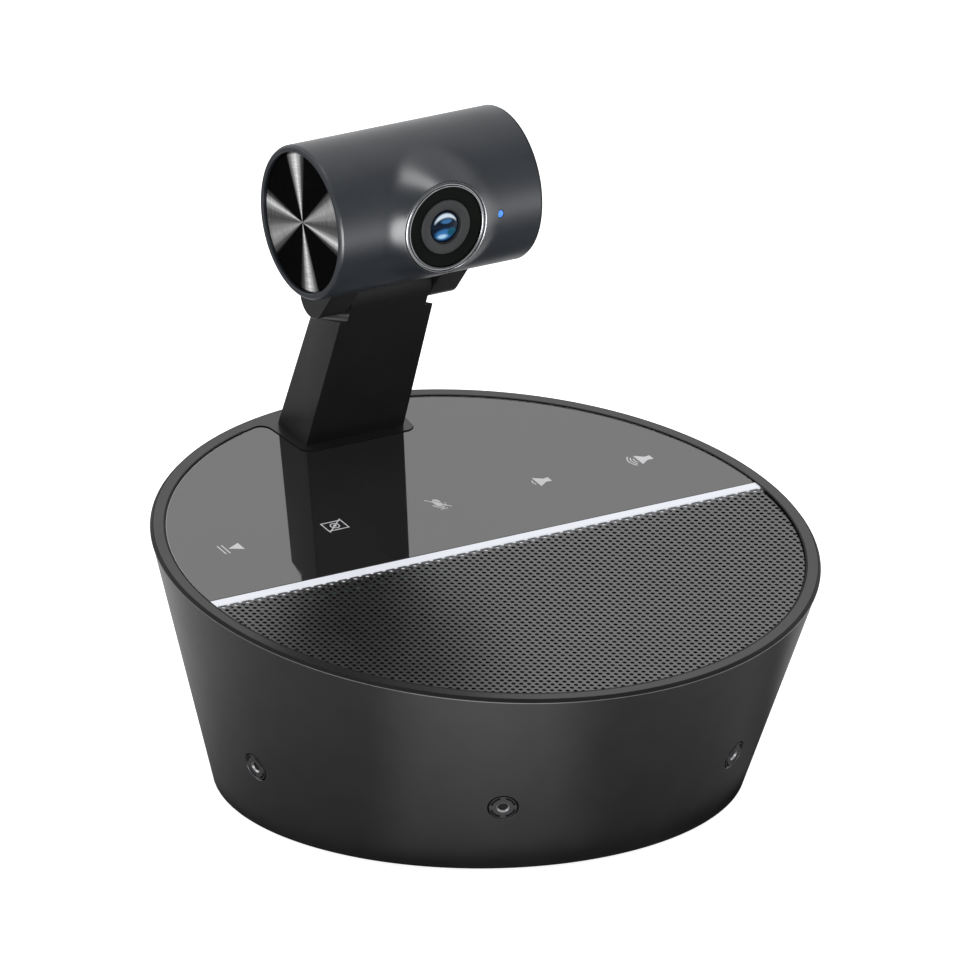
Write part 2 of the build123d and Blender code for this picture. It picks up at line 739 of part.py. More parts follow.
def sensor_board():
    board = Pos(0, 40.6, LENS_Z) * Box(42, 1.2, 26)
    for x, z in spacer_places():
        board -= rod_y(1.0, 30, 50, x, z)
    return board


def spacer_places():
    return [(x, LENS_Z + z) for x in (-12.5, 12.5) for z in (-10.5, 10.5)]


def board_spacers():
    return joined([rod_y(1.9, 41.2, 49.0, x, z) - rod_y(1.0, 40, 50, x, z)
                   for x, z in spacer_places()])


def sensor_screws():
    screws = [rod_y(1.8, 38.8, 40.0, x, z) + rod_y(1.0, 40.0, 45.0, x, z)
              for x, z in spacer_places()]
    return joined(screws)


def video_board():
    board = Pos(0, 49.6, LENS_Z) * Box(46, 1.2, 28)
    for x, z in spacer_places():
        board -= rod_y(1.0, 40, 60, x, z)
    return board


def video_chip():
    return Pos(0, 51.0, LENS_Z) * Box(12, 1.6, 12)


def heat_spreader():
    return Pos(0, 52.5, LENS_Z) * Box(20, 1.4, 20)


def head_chassis():
    """Half tube behind the boards with four posts that hold them."""
    half = rod_x(HEAD_IN_R - 0.1, -26, 26, HEAD_Y, HEAD_Z)
    half -= rod_x(HEAD_IN_R - 1.4, -27, 27, HEAD_Y, HEAD_Z)
    half &= block((-30, 30), (54.0, 70.0), (130.0, 175.0))
    for x, z in spacer_places():
        half += rod_y(1.9, 50.2, 57.0, x, z) - rod_x(HEAD_IN_R - 0.6, -BIG, BIG, HEAD_Y, HEAD_Z)
        post = rod_y(1.9, 50.2, 60.0, x, z) & rod_x(HEAD_IN_R - 1.0, -30, 30, HEAD_Y, HEAD_Z)
        half += post
    return half


def head_header():
    return block((-21.0, -15.0), (46.2, 49.0), (138.5, 142.5))


def head_cable(radius):
    """Second run of the camera lead, from the pin's end up to the video board."""
    start_x = PIN_LEFT - 0.3
    turn_x = start_x - 2.8
    points = [(start_x, HINGE_Y, HINGE_Z), (turn_x, HINGE_Y, HINGE_Z),
              (turn_x, 47.6, 133.2), (turn_x, 47.6, 138.5)]
    return wire_rod(points, [2.6, 4.0], radius)


def status_light():
    """Light pipe between the barrel's front and the lamp on the sensor board."""
    front = HEAD_Y - sqrt(HEAD_R ** 2 - (LENS_Z - HEAD_Z) ** 2)
    return rod_y(LED_R, front + 0.05, 39.2, LED_X, LENS_Z)


def status_lamp():
    return Pos(LED_X, 39.6, LENS_Z) * Box(2.0, 0.8, 1.6)


os.makedirs("parts", exist_ok=True)
save(housing(), "housing")
save(base_plate(), "base_plate")
save(foot_ring(), "foot_ring")
save(plate_screws(), "plate_screws")
save(deck_plate(), "deck_plate")
save(deck_screws(), "deck_screws")
save(touch_panel(), "touch_panel")
save(touch_icons(), "touch_icons")
save(touch_board(), "touch_board")
save(light_bar(), "light_bar")
save(light_board(), "light_board")
save(light_leds(), "light_leds")
save(speaker_grille(), "speaker_grille")
save(speaker_cloth(), "speaker_cloth")
save(speaker_basket(), "speaker_basket")
save(speaker_surround(), "speaker_surround")
save(speaker_magnet(), "speaker_magnet")
save(speaker_cone(), "speaker_cone")
save(voice_coil(), "voice_coil")
save(dust_cap(), "dust_cap")
save(speaker_screws(), "speaker_screws")
save(mic_plugs(), "mic_plugs")
save(mic_boots(), "mic_boots")
save(mic_capsules(), "mic_capsules")
save(mic_boards(), "mic_boards")
save(main_board(), "main_board")
save(board_screws(), "board_screws")
save(processor(), "processor")
save(heat_sink(), "heat_sink")
save(shield_can(), "shield_can")
save(capacitors(), "capacitors")
save(cable_header(), "cable_header")
save(usb_socket(), "usb_socket")
save(audio_jack(), "audio_jack")
save(arm_body(), "arm_body")
save(arm_cover(), "arm_cover")
save(arm_bracket(), "arm_bracket")
save(foot_screws(), "foot_screws")
save(arm_cable(CABLE_R), "arm_cable")
save(hinge_pin(), "hinge_pin")
save(friction_washers(), "friction_washers")
save(head_shell(), "head_shell")
save(pin_cap(), "pin_cap")
save(end_disc(-1), "end_disc_left")
save(end_disc(1), "end_disc_right")
save(lens_ring(), "lens_ring")
save(lens_window(), "lens_window")
save(lens_barrel(), "lens_barrel")
save(joined([front_lens()]), "front_lens")
save(inner_lenses(), "inner_lenses")
save(lens_holder(), "lens_holder")
save(joined([image_sensor(), infrared_filter()]), "image_sensor")
save(sensor_board(), "sensor_board")
save(joined([sensor_screws(), board_spacers()]), "board_spacers")
save(video_board(), "video_board")
save(joined([video_chip(), heat_spreader()]), "video_chip")
save(head_chassis(), "head_chassis")
save(joined([head_header()]), "head_header")
save(head_cable(CABLE_R), "head_cable")
save(joined([status_light(), status_lamp()]), "status_light")
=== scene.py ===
import json
from math import atan2, cos, degrees, hypot, pi, radians, sin, tau

import bmesh
import bpy
import numpy as np
from mathutils import Matrix, Vector
from mathutils.geometry import delaunay_2d_cdt

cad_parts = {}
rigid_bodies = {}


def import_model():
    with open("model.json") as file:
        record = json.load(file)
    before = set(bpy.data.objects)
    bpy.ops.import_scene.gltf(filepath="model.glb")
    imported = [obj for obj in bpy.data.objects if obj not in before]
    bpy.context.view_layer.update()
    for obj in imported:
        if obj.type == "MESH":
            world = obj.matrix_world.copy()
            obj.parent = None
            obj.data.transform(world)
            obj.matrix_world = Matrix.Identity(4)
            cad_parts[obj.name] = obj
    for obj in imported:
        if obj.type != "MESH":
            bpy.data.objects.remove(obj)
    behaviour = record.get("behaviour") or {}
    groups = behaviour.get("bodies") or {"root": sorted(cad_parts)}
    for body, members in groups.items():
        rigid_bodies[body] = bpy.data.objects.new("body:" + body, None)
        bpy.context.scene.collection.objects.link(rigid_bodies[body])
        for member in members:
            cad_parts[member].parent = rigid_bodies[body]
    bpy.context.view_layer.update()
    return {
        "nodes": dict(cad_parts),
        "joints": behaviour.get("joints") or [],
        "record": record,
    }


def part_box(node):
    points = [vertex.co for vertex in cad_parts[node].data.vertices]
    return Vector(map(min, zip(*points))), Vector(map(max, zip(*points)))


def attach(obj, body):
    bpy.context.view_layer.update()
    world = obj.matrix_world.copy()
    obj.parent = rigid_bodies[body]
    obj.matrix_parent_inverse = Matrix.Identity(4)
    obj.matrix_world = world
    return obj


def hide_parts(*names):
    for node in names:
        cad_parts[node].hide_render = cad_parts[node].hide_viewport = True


# Looks of a conference speakerphone with a camera barrel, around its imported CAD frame.
# Lengths named here are in millimetres; MM turns them into the frame's metres.

MM = 0.001

# Grille: round holes in staggered columns, in a thin pressed sheet with a folded edge.
HOLE_R = 0.62
HOLE_SIDES = 12
COLUMN_PITCH = 1.864
ROW_PITCH = 1.846
FIRST_ROW = 0.55
SHEET_T = 0.35
OVERLAP = 1.25          # how far the sheet reaches over the light guide
GRILLE_GAP = 0.35       # dark gap between the sheet and the rim
GASKET_T = 0.3          # matt strip at the bottom of that gap
SLACK = 0.02            # play between parts that lie against each other

# Camera barrel.
BARREL_HALF = 31.8
BARREL_R = 21.2
BARREL_IN_R = 19.35
END_LENGTH = 0.8        # the two chamfers at each end
LIP_DEPTH = 2.3
BOSS_R = 12.95
BOSS_FACE = 20.1        # y of the boss's flat front
FLARE = 6.5             # width of the flank from the boss's face back to the barrel
PATCH_TURN = 82.0       # degrees of the barrel covered by the patch round the lens
LENS_BORE = 12.8
EAR_IN = 12.7
EAR_OUT = 21.65
EAR_LENGTH = 20.0       # from the hinge to the ear's end inside the barrel
EAR_LEAN = 39.8         # degrees that the front of the arm and ears leans forward
KNUCKLE_R = 6.15
CAP_HOLE_R = 4.1
LED_X = 17.9
LED_R = 1.05
SKIN_T = 0.75
SKIN_SHARP = 24.0       # degrees between faces that still count as one smooth surface

# Touch keys.
KEY_PITCH = 32.5
KEY_V = 24.7
PRINT_T = 0.05

# Painted shade band, bright bead, seam and painted glint on the rim's edge.
RIM_STEPS = 360
CHAMFER_TOP_R = 89.0    # of the housing's points near the rim plane, the chamfer's lie outside these
CHAMFER_FOOT_R = 89.9
RIM_BEAD = 0.27
SEAM_WIDTH = 0.5
SEAM_T = 0.012
GLINT_WIDTH = 0.05
GLINT_INSET = 0.25      # how far the light line lies inside the edge of the glass
GLINT_T = 0.01
TAB_TURN = 18.0         # degrees on each side of the arm's tab that both lines leave free

# Microphone caps.
MIC_CAP_R = 3.75
MIC_SEAT_R = 4.18
MIC_HOLE_R = 1.7
MIC_DEPTH = 2.6
MIC_TURN_GAP = 0.3      # radians; points of one cap are closer than this

CDT_INSIDE = 1          # triangulate only what lies inside the outlines
CDT_GAP = 1e-5
MERGE = 1e-3
SHARP = 30.0

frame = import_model()
nodes = frame["nodes"]
joints = {joint["name"]: joint for joint in frame["joints"]}

# The rim plane and the two main axes come from the frame.
RIM_UP = Vector(joints["cone_travel"]["axis"]).normalized()
RIM_X = Vector((1, 0, 0))
RIM_BACK = RIM_UP.cross(RIM_X)
PANEL_DROP = 0.3
HINGE = Vector(joints["head_tilt"]["pos_m"]) / MM


def node_points(node):
    """A CAD node's vertices in millimetres."""
    mesh = nodes[node].data
    flat = np.zeros(len(mesh.vertices) * 3, np.float32)
    mesh.vertices.foreach_get("co", flat)
    return flat.reshape(-1, 3).astype(float) / MM


GLASS_TOP = (node_points("touch_panel") @ np.array(RIM_UP)).max()
RIM_CENTRE = Vector((0, 0, (GLASS_TOP + PANEL_DROP) / RIM_UP.z))


def rim_points(node):
    """A CAD node's vertices as (across, back, up) from the middle of the rim plane."""
    axes = np.array([RIM_X, RIM_BACK, RIM_UP])
    return (node_points(node) - np.array(RIM_CENTRE)) @ axes.T


def on_rim(across, back, up):
    return RIM_CENTRE + RIM_X * across + RIM_BACK * back + RIM_UP * up


def middle(node):
    low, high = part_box(node)
    return (low + high) / (2 * MM)


BARREL = Vector((0, middle("end_disc_left").y, middle("end_disc_left").z))
LENS = middle("lens_ring")


# ---------------------------------------------------------------- mesh helpers

def new_object(name, points, faces, sharp=SHARP):
    """A mesh object from points in millimetres, smooth except at sharp edges."""
    mesh = bpy.data.meshes.new(name)
    mesh.from_pydata([Vector(p) * MM for p in points], [], faces)
    piece = bpy.data.objects.new(name, mesh)
    bpy.context.scene.collection.objects.link(piece)
    tidy_mesh(mesh, sharp)
    return piece


def tidy_mesh(mesh, sharp):
    """Merges doubled points, turns the faces outwards and shades all but sharp edges smooth."""
    work = bmesh.new()
    work.from_mesh(mesh)
    bmesh.ops.remove_doubles(work, verts=work.verts, dist=MERGE * MM)
    bmesh.ops.recalc_face_normals(work, faces=work.faces)
    work.to_mesh(mesh)
    work.free()
    mesh.shade_smooth()
    mesh.set_sharp_from_angle(angle=radians(sharp))
    mesh.update()


def counter_clockwise(outline):
    area = sum(a[0] * b[1] - b[0] * a[1] for a, b in zip(outline, outline[1:] + outline[:1]))
    return outline if area > 0 else outline[::-1]


def plate(name, fills, cuts, low, high, place=on_rim):
    """A flat plate that holds everything inside the filled outlines, less the cut ones."""
    flat = []
    loops = []
    for outline in fills + cuts:
        loops.append(list(range(len(flat), len(flat) + len(outline))))
        flat.extend(Vector(p) for p in counter_clockwise(list(outline)))
    made = delaunay_2d_cdt(flat, [], loops, CDT_INSIDE, CDT_GAP)
    corners = made[0]
    kept = [tri for tri, source in zip(made[2], made[5]) if source and max(source) < len(fills)]
    count = len(corners)
    points = [place(p.x, p.y, high) for p in corners] + [place(p.x, p.y, low) for p in corners]
    faces = [list(tri) for tri in kept]
    faces += [[i + count for i in reversed(tri)] for tri in kept]
    edges = {(tri[i], tri[i - 2]) for tri in kept for i in range(3)}
    faces += [[a, a + count, b + count, b] for a, b in edges if (b, a) not in edges]
    used = sorted({i for face in faces for i in face})
    index = {old: new for new, old in enumerate(used)}
    return new_object(name, [points[i] for i in used], [[index[i] for i in f] for f in faces])


def arc(radius, start, end, steps, centre=(0.0, 0.0)):
    """Points on an arc, from one angle to another in degrees."""
    turns = [radians(start + (end - start) * i / steps) for i in range(steps + 1)]
    return [(centre[0] + radius * cos(t), centre[1] + radius * sin(t)) for t in turns]


def turned(name, profile, place, sides=128):
    """A body turned about an axis, from a closed loop of (radius, along) points."""
    points = []
    for i in range(sides):
        turn = tau * i / sides
        points += [place(r * cos(turn), r * sin(turn), along) for r, along in profile]
    n = len(profile)
    faces = []
    for i in range(sides):
        j = (i + 1) % sides
        faces += [[i * n + k, i * n + (k + 1) % n, j * n + (k + 1) % n, j * n + k] for k in range(n)]
    return new_object(name, points, faces)


def about_lens(across, up, along):
    """A place in front of the lens; along is y."""
    return Vector((across, along, LENS.z + up))


def about_barrel(forward, up, along):
    """A place round the barrel's axis; along is x."""
    return Vector((along, BARREL.y - forward, BARREL.z + up))


def about_hinge(forward, up, along):
    """A place round the hinge's axis; along is x."""
    return Vector((along, HINGE.y - forward, HINGE.z + up))


def softened(node, name, width):
    """A copy of a CAD node with its sharp edges rounded off."""
    mesh = nodes[node].data.copy()
    mesh.name = name
    piece = bpy.data.objects.new(name, mesh)
    bpy.context.scene.collection.objects.link(piece)
    soften(piece, width)
    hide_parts(node)
    return piece


def soften(piece, width):
    """Rounds a piece's edges over 40 degrees, and keeps its flat faces flat in the shading."""
    work = bmesh.new()
    work.from_mesh(piece.data)
    bmesh.ops.remove_doubles(work, verts=work.verts, dist=MERGE * MM)
    bmesh.ops.dissolve_limit(work, angle_limit=radians(0.5), verts=work.verts, edges=work.edges)
    limit = radians(40.0)
    sharp = [e for e in work.edges if len(e.link_faces) == 2 and e.calc_face_angle(0) > limit]
    bmesh.ops.bevel(work, geom=sharp, offset=width * MM, segments=2, profile=0.5,
                    affect="EDGES", clamp_overlap=True)
    work.to_mesh(piece.data)
    work.free()
    tidy_mesh(piece.data, 50.0)
    normals = piece.modifiers.new("flat faces", "WEIGHTED_NORMAL")
    normals.keep_sharp = True


# ---------------------------------------------------------------- materials

class Nodes:
    """A node tree with a few helpers."""

    def __init__(self, tree):
        self.tree = tree

    def add(self, kind, **settings):
        node = self.tree.nodes.new(kind)
        for key, value in settings.items():
            setattr(node, key, value)
        return node

    def link(self, start, end):
        self.tree.links.new(start, end)

    def feed(self, socket, value):
        """Links another node's output to a socket, or sets a plain value on it."""
        if hasattr(value, "links"):
            self.link(value, socket)
        else:
            socket.default_value = value

    def mix(self, factor, first, last):
        node = self.add("ShaderNodeMix", data_type="RGBA")
        self.link(factor, node.inputs["Factor"])
        self.feed(node.inputs["A"], first)
        self.feed(node.inputs["B"], last)
        return node.outputs["Result"]

    def ramp(self, value, low, high, first=0.0, last=1.0):
        """Turns value between low and high smoothly into a number between first and last."""
        node = self.add("ShaderNodeMapRange", interpolation_type="SMOOTHSTEP")
        for key, number in (("From Min", low), ("From Max", high), ("To Min", first), ("To Max", last)):
            node.inputs[key].default_value = number
        self.link(value, node.inputs["Value"])
        return node.outputs[0]

    def greys(self, value, stops, interpolation="EASE"):
        """Turns value into the grey that the stops give for it."""
        node = self.add("ShaderNodeValToRGB")
        node.color_ramp.interpolation = interpolation
        marks = node.color_ramp.elements
        while len(marks) < len(stops):
            marks.new(0.5)
        for mark, (position, grey) in zip(marks, stops):
            mark.position = position
            mark.color = (grey, grey, grey, 1)
        self.link(value, node.inputs[0])
        return node.outputs[0]


class Surface(Nodes):
    """A node material with one Principled shader."""

    def __init__(self, name, colour, roughness, metallic=0.0, ior=1.5):
        self.material = bpy.data.materials.new(name)
        self.material.use_nodes = True
        super().__init__(self.material.node_tree)
        self.shader = self.tree.nodes["Principled BSDF"]
        self.shader.inputs["Metallic"].default_value = metallic
        self.shader.inputs["IOR"].default_value = ior
        self.colour = colour
        self.roughness = roughness
        self.place = self.add("ShaderNodeTexCoord").outputs["Object"]

    def math(self, operation, *values):
        node = self.add("ShaderNodeMath", operation=operation)
        for socket, value in zip(node.inputs, values):
            self.feed(socket, value)
        return node.outputs[0]

    def length(self, a, b):
        return self.math("SQRT", self.math("ADD", self.math("MULTIPLY", a, a), self.math("MULTIPLY", b, b)))

    def noise(self, size, detail=2.0, stretch=(1, 1, 1)):
        """Noise whose spots are about size millimetres across."""
        scaled = self.add("ShaderNodeMapping")
        scaled.inputs["Scale"].default_value = stretch
        self.link(self.place, scaled.inputs["Vector"])
        node = self.add("ShaderNodeTexNoise")
        node.inputs["Scale"].default_value = 1 / (size * MM)
        node.inputs["Detail"].default_value = detail
        self.link(scaled.outputs[0], node.inputs["Vector"])
        return node.outputs[0]

    def patch(self, across, up, centre, size, soft):
        """One inside an oval of half sizes size and nought outside, over a soft share of it."""
        x = self.math("DIVIDE", self.math("SUBTRACT", across, centre[0]), size[0])
        y = self.math("DIVIDE", self.math("SUBTRACT", up, centre[1]), size[1])
        return self.ramp(self.length(x, y), 1 - soft, 1, 1, 0)

    def blend(self, factor, first, last):
        return self.mix(factor, (*first, 1), (*last, 1))

    def vary_colour(self, value, spread):
        """Base colour that varies a little with value."""
        dark = [c * (1 - spread) for c in self.colour]
        light = [min(1, c * (1 + spread)) for c in self.colour]
        self.link(self.blend(self.ramp(value, 0.2, 0.8), dark, light), self.shader.inputs["Base Color"])

    def vary_roughness(self, value, spread):
        self.link(self.ramp(value, 0.2, 0.8, self.roughness - spread, self.roughness + spread),
                  self.shader.inputs["Roughness"])

    def bump(self, value, height, strength=1.0):
        node = self.add("ShaderNodeBump")
        node.inputs["Strength"].default_value = strength
        node.inputs["Distance"].default_value = height * MM
        self.link(value, node.inputs["Height"])
        self.link(node.outputs[0], self.shader.inputs["Normal"])


def moulded(name, colour, roughness, grain=0.9, height=0.002, ior=1.5, spread=0.12, specular=0.5):
    """Moulded plastic or rubber: fine spark-eroded grain and slightly uneven gloss."""
    s = Surface(name, colour, roughness, ior=ior)
    s.shader.inputs["Specular IOR Level"].default_value = specular
    s.vary_colour(s.noise(9.0, 2.0), spread)
    s.vary_roughness(s.noise(14.0, 2.0), roughness * 0.06)
    s.bump(s.noise(grain, 2.0), height)
    return s.material


def metal(name, colour, roughness, stretch=(1, 1, 12), grain=0.5, height=0.002):
    """Worked metal with fine parallel marks."""
    s = Surface(name, colour, roughness, metallic=1.0)
    lines = s.noise(grain, 3.0, stretch)
    s.vary_colour(lines, 0.12)
    s.vary_roughness(s.noise(3.0, 3.0), roughness * 0.2)
    s.bump(lines, height)
    return s.material


def glass_panel(name, colour, roughness):
    """Black-backed glass: a sharp mirror with faint wiping marks."""
    s = Surface(name, colour, roughness, ior=2.05)
    s.vary_colour(s.noise(25.0, 2.0), 0.2)
    s.link(s.ramp(s.noise(18.0, 5.0, (1, 2.5, 1)), 0.4, 0.8, roughness, roughness * 2.2),
           s.shader.inputs["Roughness"])
    s.bump(s.noise(60.0, 1.0), 0.002, 0.3)
    return s.material


def circuit(name, colour, roughness):
    """Solder mask over copper tracks."""
    s = Surface(name, colour, roughness)
    brick = s.add("ShaderNodeTexBrick")
    brick.inputs["Scale"].default_value = 1 / (6.0 * MM)
    brick.inputs["Mortar Size"].default_value = 0.03
    brick.inputs["Color1"].default_value = (*colour, 1)
    brick.inputs["Color2"].default_value = (*[c * 0.85 for c in colour], 1)
    brick.inputs["Mortar"].default_value = (*[min(1, c * 2.2) for c in colour], 1)
    s.link(s.place, brick.inputs["Vector"])
    s.link(brick.outputs["Color"], s.shader.inputs["Base Color"])
    s.vary_roughness(s.noise(2.0, 2.0), 0.05)
    s.bump(brick.outputs["Fac"], -0.01)
    return s.material


def woven(name, colour, roughness):
    """Open gauze: two crossing threads."""
    pitch = 0.5
    s = Surface(name, colour, roughness)
    waves = []
    for direction in ("X", "Y"):
        wave = s.add("ShaderNodeTexWave", bands_direction=direction, wave_profile="SIN")
        wave.inputs["Scale"].default_value = 1 / (pitch * MM * tau / 2)
        s.link(s.place, wave.inputs["Vector"])
        waves.append(wave.outputs["Fac"])
    weave = s.math("MAXIMUM", *waves)
    s.vary_colour(weave, 0.5)
    s.shader.inputs["Roughness"].default_value = roughness
    s.shader.inputs["Sheen Weight"].default_value = 0.2
    s.bump(weave, 0.06)
    return s.material


def glowing(name, colour, strength, lit):
    """A frosted part with a lamp behind it."""
    s = Surface(name, colour, 0.35)
    cloud = s.noise(6.0, 2.0)
    s.vary_colour(cloud, 0.04)
    s.vary_roughness(cloud, 0.04)
    glow = s.blend(s.ramp(cloud, 0.3, 0.7), [c * 0.97 for c in lit], lit)
    s.link(glow, s.shader.inputs["Emission Color"])
    s.shader.inputs["Emission Strength"].default_value = strength
    return s.material


# Painted highlights of the end discs: bright sectors of reflected light, as brightness against the share of a
# half turn, from the front.
PAINTED_DISC_HIGHLIGHTS = [(0.0, 0.4), (0.03, 0.14), (0.06, 0.1), (0.085, 0.15), (0.12, 0.32), (0.16, 0.45), (0.19, 0.36),
            (0.22, 0.12), (0.25, 0.005), (0.48, 0.005), (0.51, 0.08), (0.54, 0.5), (0.568, 0.95),
            (0.595, 0.6), (0.62, 0.22), (0.65, 0.005), (0.92, 0.005), (0.945, 0.08), (0.965, 0.5),
            (0.98, 0.85), (0.992, 0.7), (1.0, 0.4)]


def spun(name, colour, roughness):
    """Turned and anodised end disc: fine rings, with bright sectors of reflected light painted into its base
    colour as painted highlights.
    """
    s = Surface(name, colour, roughness, metallic=0.5)
    split = s.add("ShaderNodeSeparateXYZ")
    s.link(s.place, split.inputs[0])
    forward = s.math("SUBTRACT", BARREL.y * MM, split.outputs["Y"])
    up = s.math("SUBTRACT", split.outputs["Z"], BARREL.z * MM)
    turn = s.math("ARCTAN2", up, forward)
    ring = s.add("ShaderNodeCombineXYZ")
    s.link(s.math("MULTIPLY", s.length(forward, up), 1 / (0.09 * MM)), ring.inputs["X"])
    s.link(s.math("MULTIPLY", turn, 2.5), ring.inputs["Y"])
    grooves = s.add("ShaderNodeTexNoise")
    grooves.inputs["Scale"].default_value = 1.0
    grooves.inputs["Detail"].default_value = 3.0
    s.link(ring.outputs[0], grooves.inputs["Vector"])
    half_turns = s.math("FRACT", s.math("ADD", s.math("DIVIDE", turn, pi), 1.0))
    # Painted highlights: the sectors' brightness, varied by the fine rings, becomes the base colour.
    shade = s.add("ShaderNodeVectorMath", operation="SCALE")
    s.link(s.greys(half_turns, PAINTED_DISC_HIGHLIGHTS), shade.inputs[0])
    s.link(s.ramp(grooves.outputs[0], 0.25, 0.75, 0.6, 1.4), shade.inputs["Scale"])
    s.link(shade.outputs[0], s.shader.inputs["Base Color"])
    s.shader.inputs["Roughness"].default_value = roughness
    s.shader.inputs["Specular Tint"].default_value = (0.2, 0.2, 0.2, 1)
    s.shader.inputs["Specular IOR Level"].default_value = 0.0
    s.shader.inputs["Anisotropic"].default_value = 0.5
    tangent = s.add("ShaderNodeTangent", direction_type="RADIAL", axis="X")
    s.link(tangent.outputs[0], s.shader.inputs["Tangent"])
    s.bump(grooves.outputs[0], 0.002)
    return s.material


def coated(name, colour, roughness):
    """Lens glass: painted reflections in its base colour, a white arch highlight and blue, teal and
    light-blue patches, under a clear blue coating.
    """
    s = Surface(name, colour, roughness, ior=1.6)
    split = s.add("ShaderNodeSeparateXYZ")
    s.link(s.place, split.inputs[0])
    across = s.math("MULTIPLY", split.outputs["X"], 1 / MM)
    up = s.math("SUBTRACT", s.math("MULTIPLY", split.outputs["Z"], 1 / MM), LENS.z)
    # Painted highlight: a white arch near the top of the glass.
    painted_arch_highlight = s.math("SUBTRACT", s.patch(across, up, (0.0, 0.1), (3.9, 3.9), 0.15),
                  s.patch(across, up, (0.0, -1.4), (4.7, 4.4), 0.15))
    # Painted reflections: blue, teal and light-blue patches laid into the base colour.
    painted_reflections = [
        (s.patch(across, up, (-0.6, -2.0), (3.3, 2.1), 0.5), (0.04, 0.18, 0.45)),
        (s.patch(across, up, (1.7, -1.4), (1.9, 1.5), 0.5), (0.01, 0.09, 0.15)),
        (s.patch(across, up, (0.1, 1.7), (2.2, 0.8), 0.5), (0.05, 0.17, 0.38)),
        (s.patch(across, up, (-1.1, -2.5), (2.0, 1.0), 0.7), (0.45, 0.7, 0.95)),
        (painted_arch_highlight, (0.75, 0.88, 1.0)),
    ]
    tint = s.blend(s.ramp(s.noise(2.0, 1.0), 0.3, 0.7), [c * 0.8 for c in colour], colour)
    for amount, reflection_colour in painted_reflections:
        tint = s.mix(amount, tint, (*reflection_colour, 1))
    s.link(tint, s.shader.inputs["Base Color"])
    s.shader.inputs["Roughness"].default_value = roughness
    s.shader.inputs["Specular Tint"].default_value = (0.45, 0.75, 1.0, 1)
    s.shader.inputs["Specular IOR Level"].default_value = 0.05
    return s.material


def make_materials():
    return {
        "gloss_black_plastic": moulded("gloss_black_plastic", (0.011, 0.011, 0.012), 0.3, ior=1.46),
        "head_black_plastic": moulded("head_black_plastic", (0.016, 0.019, 0.024), 0.33),
        "base_black_plastic": moulded("base_black_plastic", (0.02, 0.02, 0.022), 0.5, 0.6, 0.01),
        "inner_black_plastic": moulded("inner_black_plastic", (0.01, 0.01, 0.01), 0.6, specular=0.2),
        "mic_plastic": moulded("mic_plastic", (0.02, 0.02, 0.022), 0.32),
        "foot_rubber": moulded("foot_rubber", (0.03, 0.03, 0.03), 0.8, 0.5, 0.02),
        "surround_rubber": moulded("surround_rubber", (0.02, 0.02, 0.02), 0.7),
        "dark_steel": metal("dark_steel", (0.1, 0.1, 0.11), 0.35),
        "zinc_steel": metal("zinc_steel", (0.6, 0.6, 0.62), 0.3),
        "basket_steel": moulded("basket_steel", (0.03, 0.03, 0.033), 0.4),
        "shield_steel": metal("shield_steel", (0.68, 0.68, 0.68), 0.25),
        "sink_aluminium": metal("sink_aluminium", (0.6, 0.6, 0.62), 0.35),
        "capacitor_aluminium": metal("capacitor_aluminium", (0.65, 0.65, 0.68), 0.3),
        "panel_glass": glass_panel("panel_glass", (0.006, 0.006, 0.0065), 0.025),
        "icon_print": moulded("icon_print", (0.88, 0.88, 0.9), 0.4, spread=0.02),
        "light_diffuser": glowing("light_diffuser", (0.3, 0.3, 0.32), 0.66, (0.9, 0.92, 1.0)),
        "led_white": glowing("led_white", (0.9, 0.9, 0.8), 2.0, (1.0, 1.0, 0.95)),
        "led_blue": glowing("led_blue", (0.02, 0.1, 0.4), 0.95, (0.045, 0.25, 0.88)),
        "grille_steel": moulded("grille_steel", (0.02, 0.02, 0.02), 0.3, 0.25, 0.004, 1.9),
        "acoustic_cloth": woven("acoustic_cloth", (0.012, 0.012, 0.012), 0.9),
        "magnet_iron": metal("magnet_iron", (0.12, 0.12, 0.13), 0.5),
        "cone_paper": moulded("cone_paper", (0.03, 0.03, 0.03), 0.9, 1.2, 0.05),
        "coil_copper": metal("coil_copper", (0.75, 0.36, 0.2), 0.35, (1, 1, 20)),
        "circuit_board": circuit("circuit_board", (0.01, 0.08, 0.045), 0.35),
        "chip_plastic": moulded("chip_plastic", (0.015, 0.015, 0.016), 0.55),
        "header_plastic": moulded("header_plastic", (0.75, 0.72, 0.63), 0.5),
        "cable_jacket": moulded("cable_jacket", (0.015, 0.015, 0.015), 0.55),
        "spun_black_metal": spun("spun_black_metal", (0.3, 0.3, 0.31), 0.3),
        "dark_chrome": metal("dark_chrome", (0.15, 0.153, 0.16), 0.24, (1, 1, 1), 3.0, 0.0005),
        "window_black": moulded("window_black", (0.009, 0.011, 0.0095), 0.25, 1.5, 0.001, specular=0.0),
        "bezel_grey": moulded("bezel_grey", (0.03, 0.031, 0.032), 0.4, specular=0.12),
        "coated_glass": coated("coated_glass", (0.003, 0.006, 0.02), 0.03),
        "spacer_brass": metal("spacer_brass", (0.7, 0.52, 0.22), 0.3),
    }


materials = make_materials()
slots = {part["node"]: part["material_slot"] for part in frame["record"]["subparts"]}


def finish_piece(piece, slot, body, *replaced):
    piece.data.materials.clear()
    piece.data.materials.append(materials[slot])
    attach(piece, body)
    if replaced:
        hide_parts(*replaced)
    return piece


def dress_nodes():
    for node, piece in nodes.items():
        for place in piece.material_slots:
            place.material = materials[slots[node]]


# ---------------------------------------------------------------- base pieces

def turn_at(back, radius):
    """Degrees from the rim's X axis to where a line across the rim meets a circle."""
    return degrees(atan2(back, (radius ** 2 - back ** 2) ** 0.5))


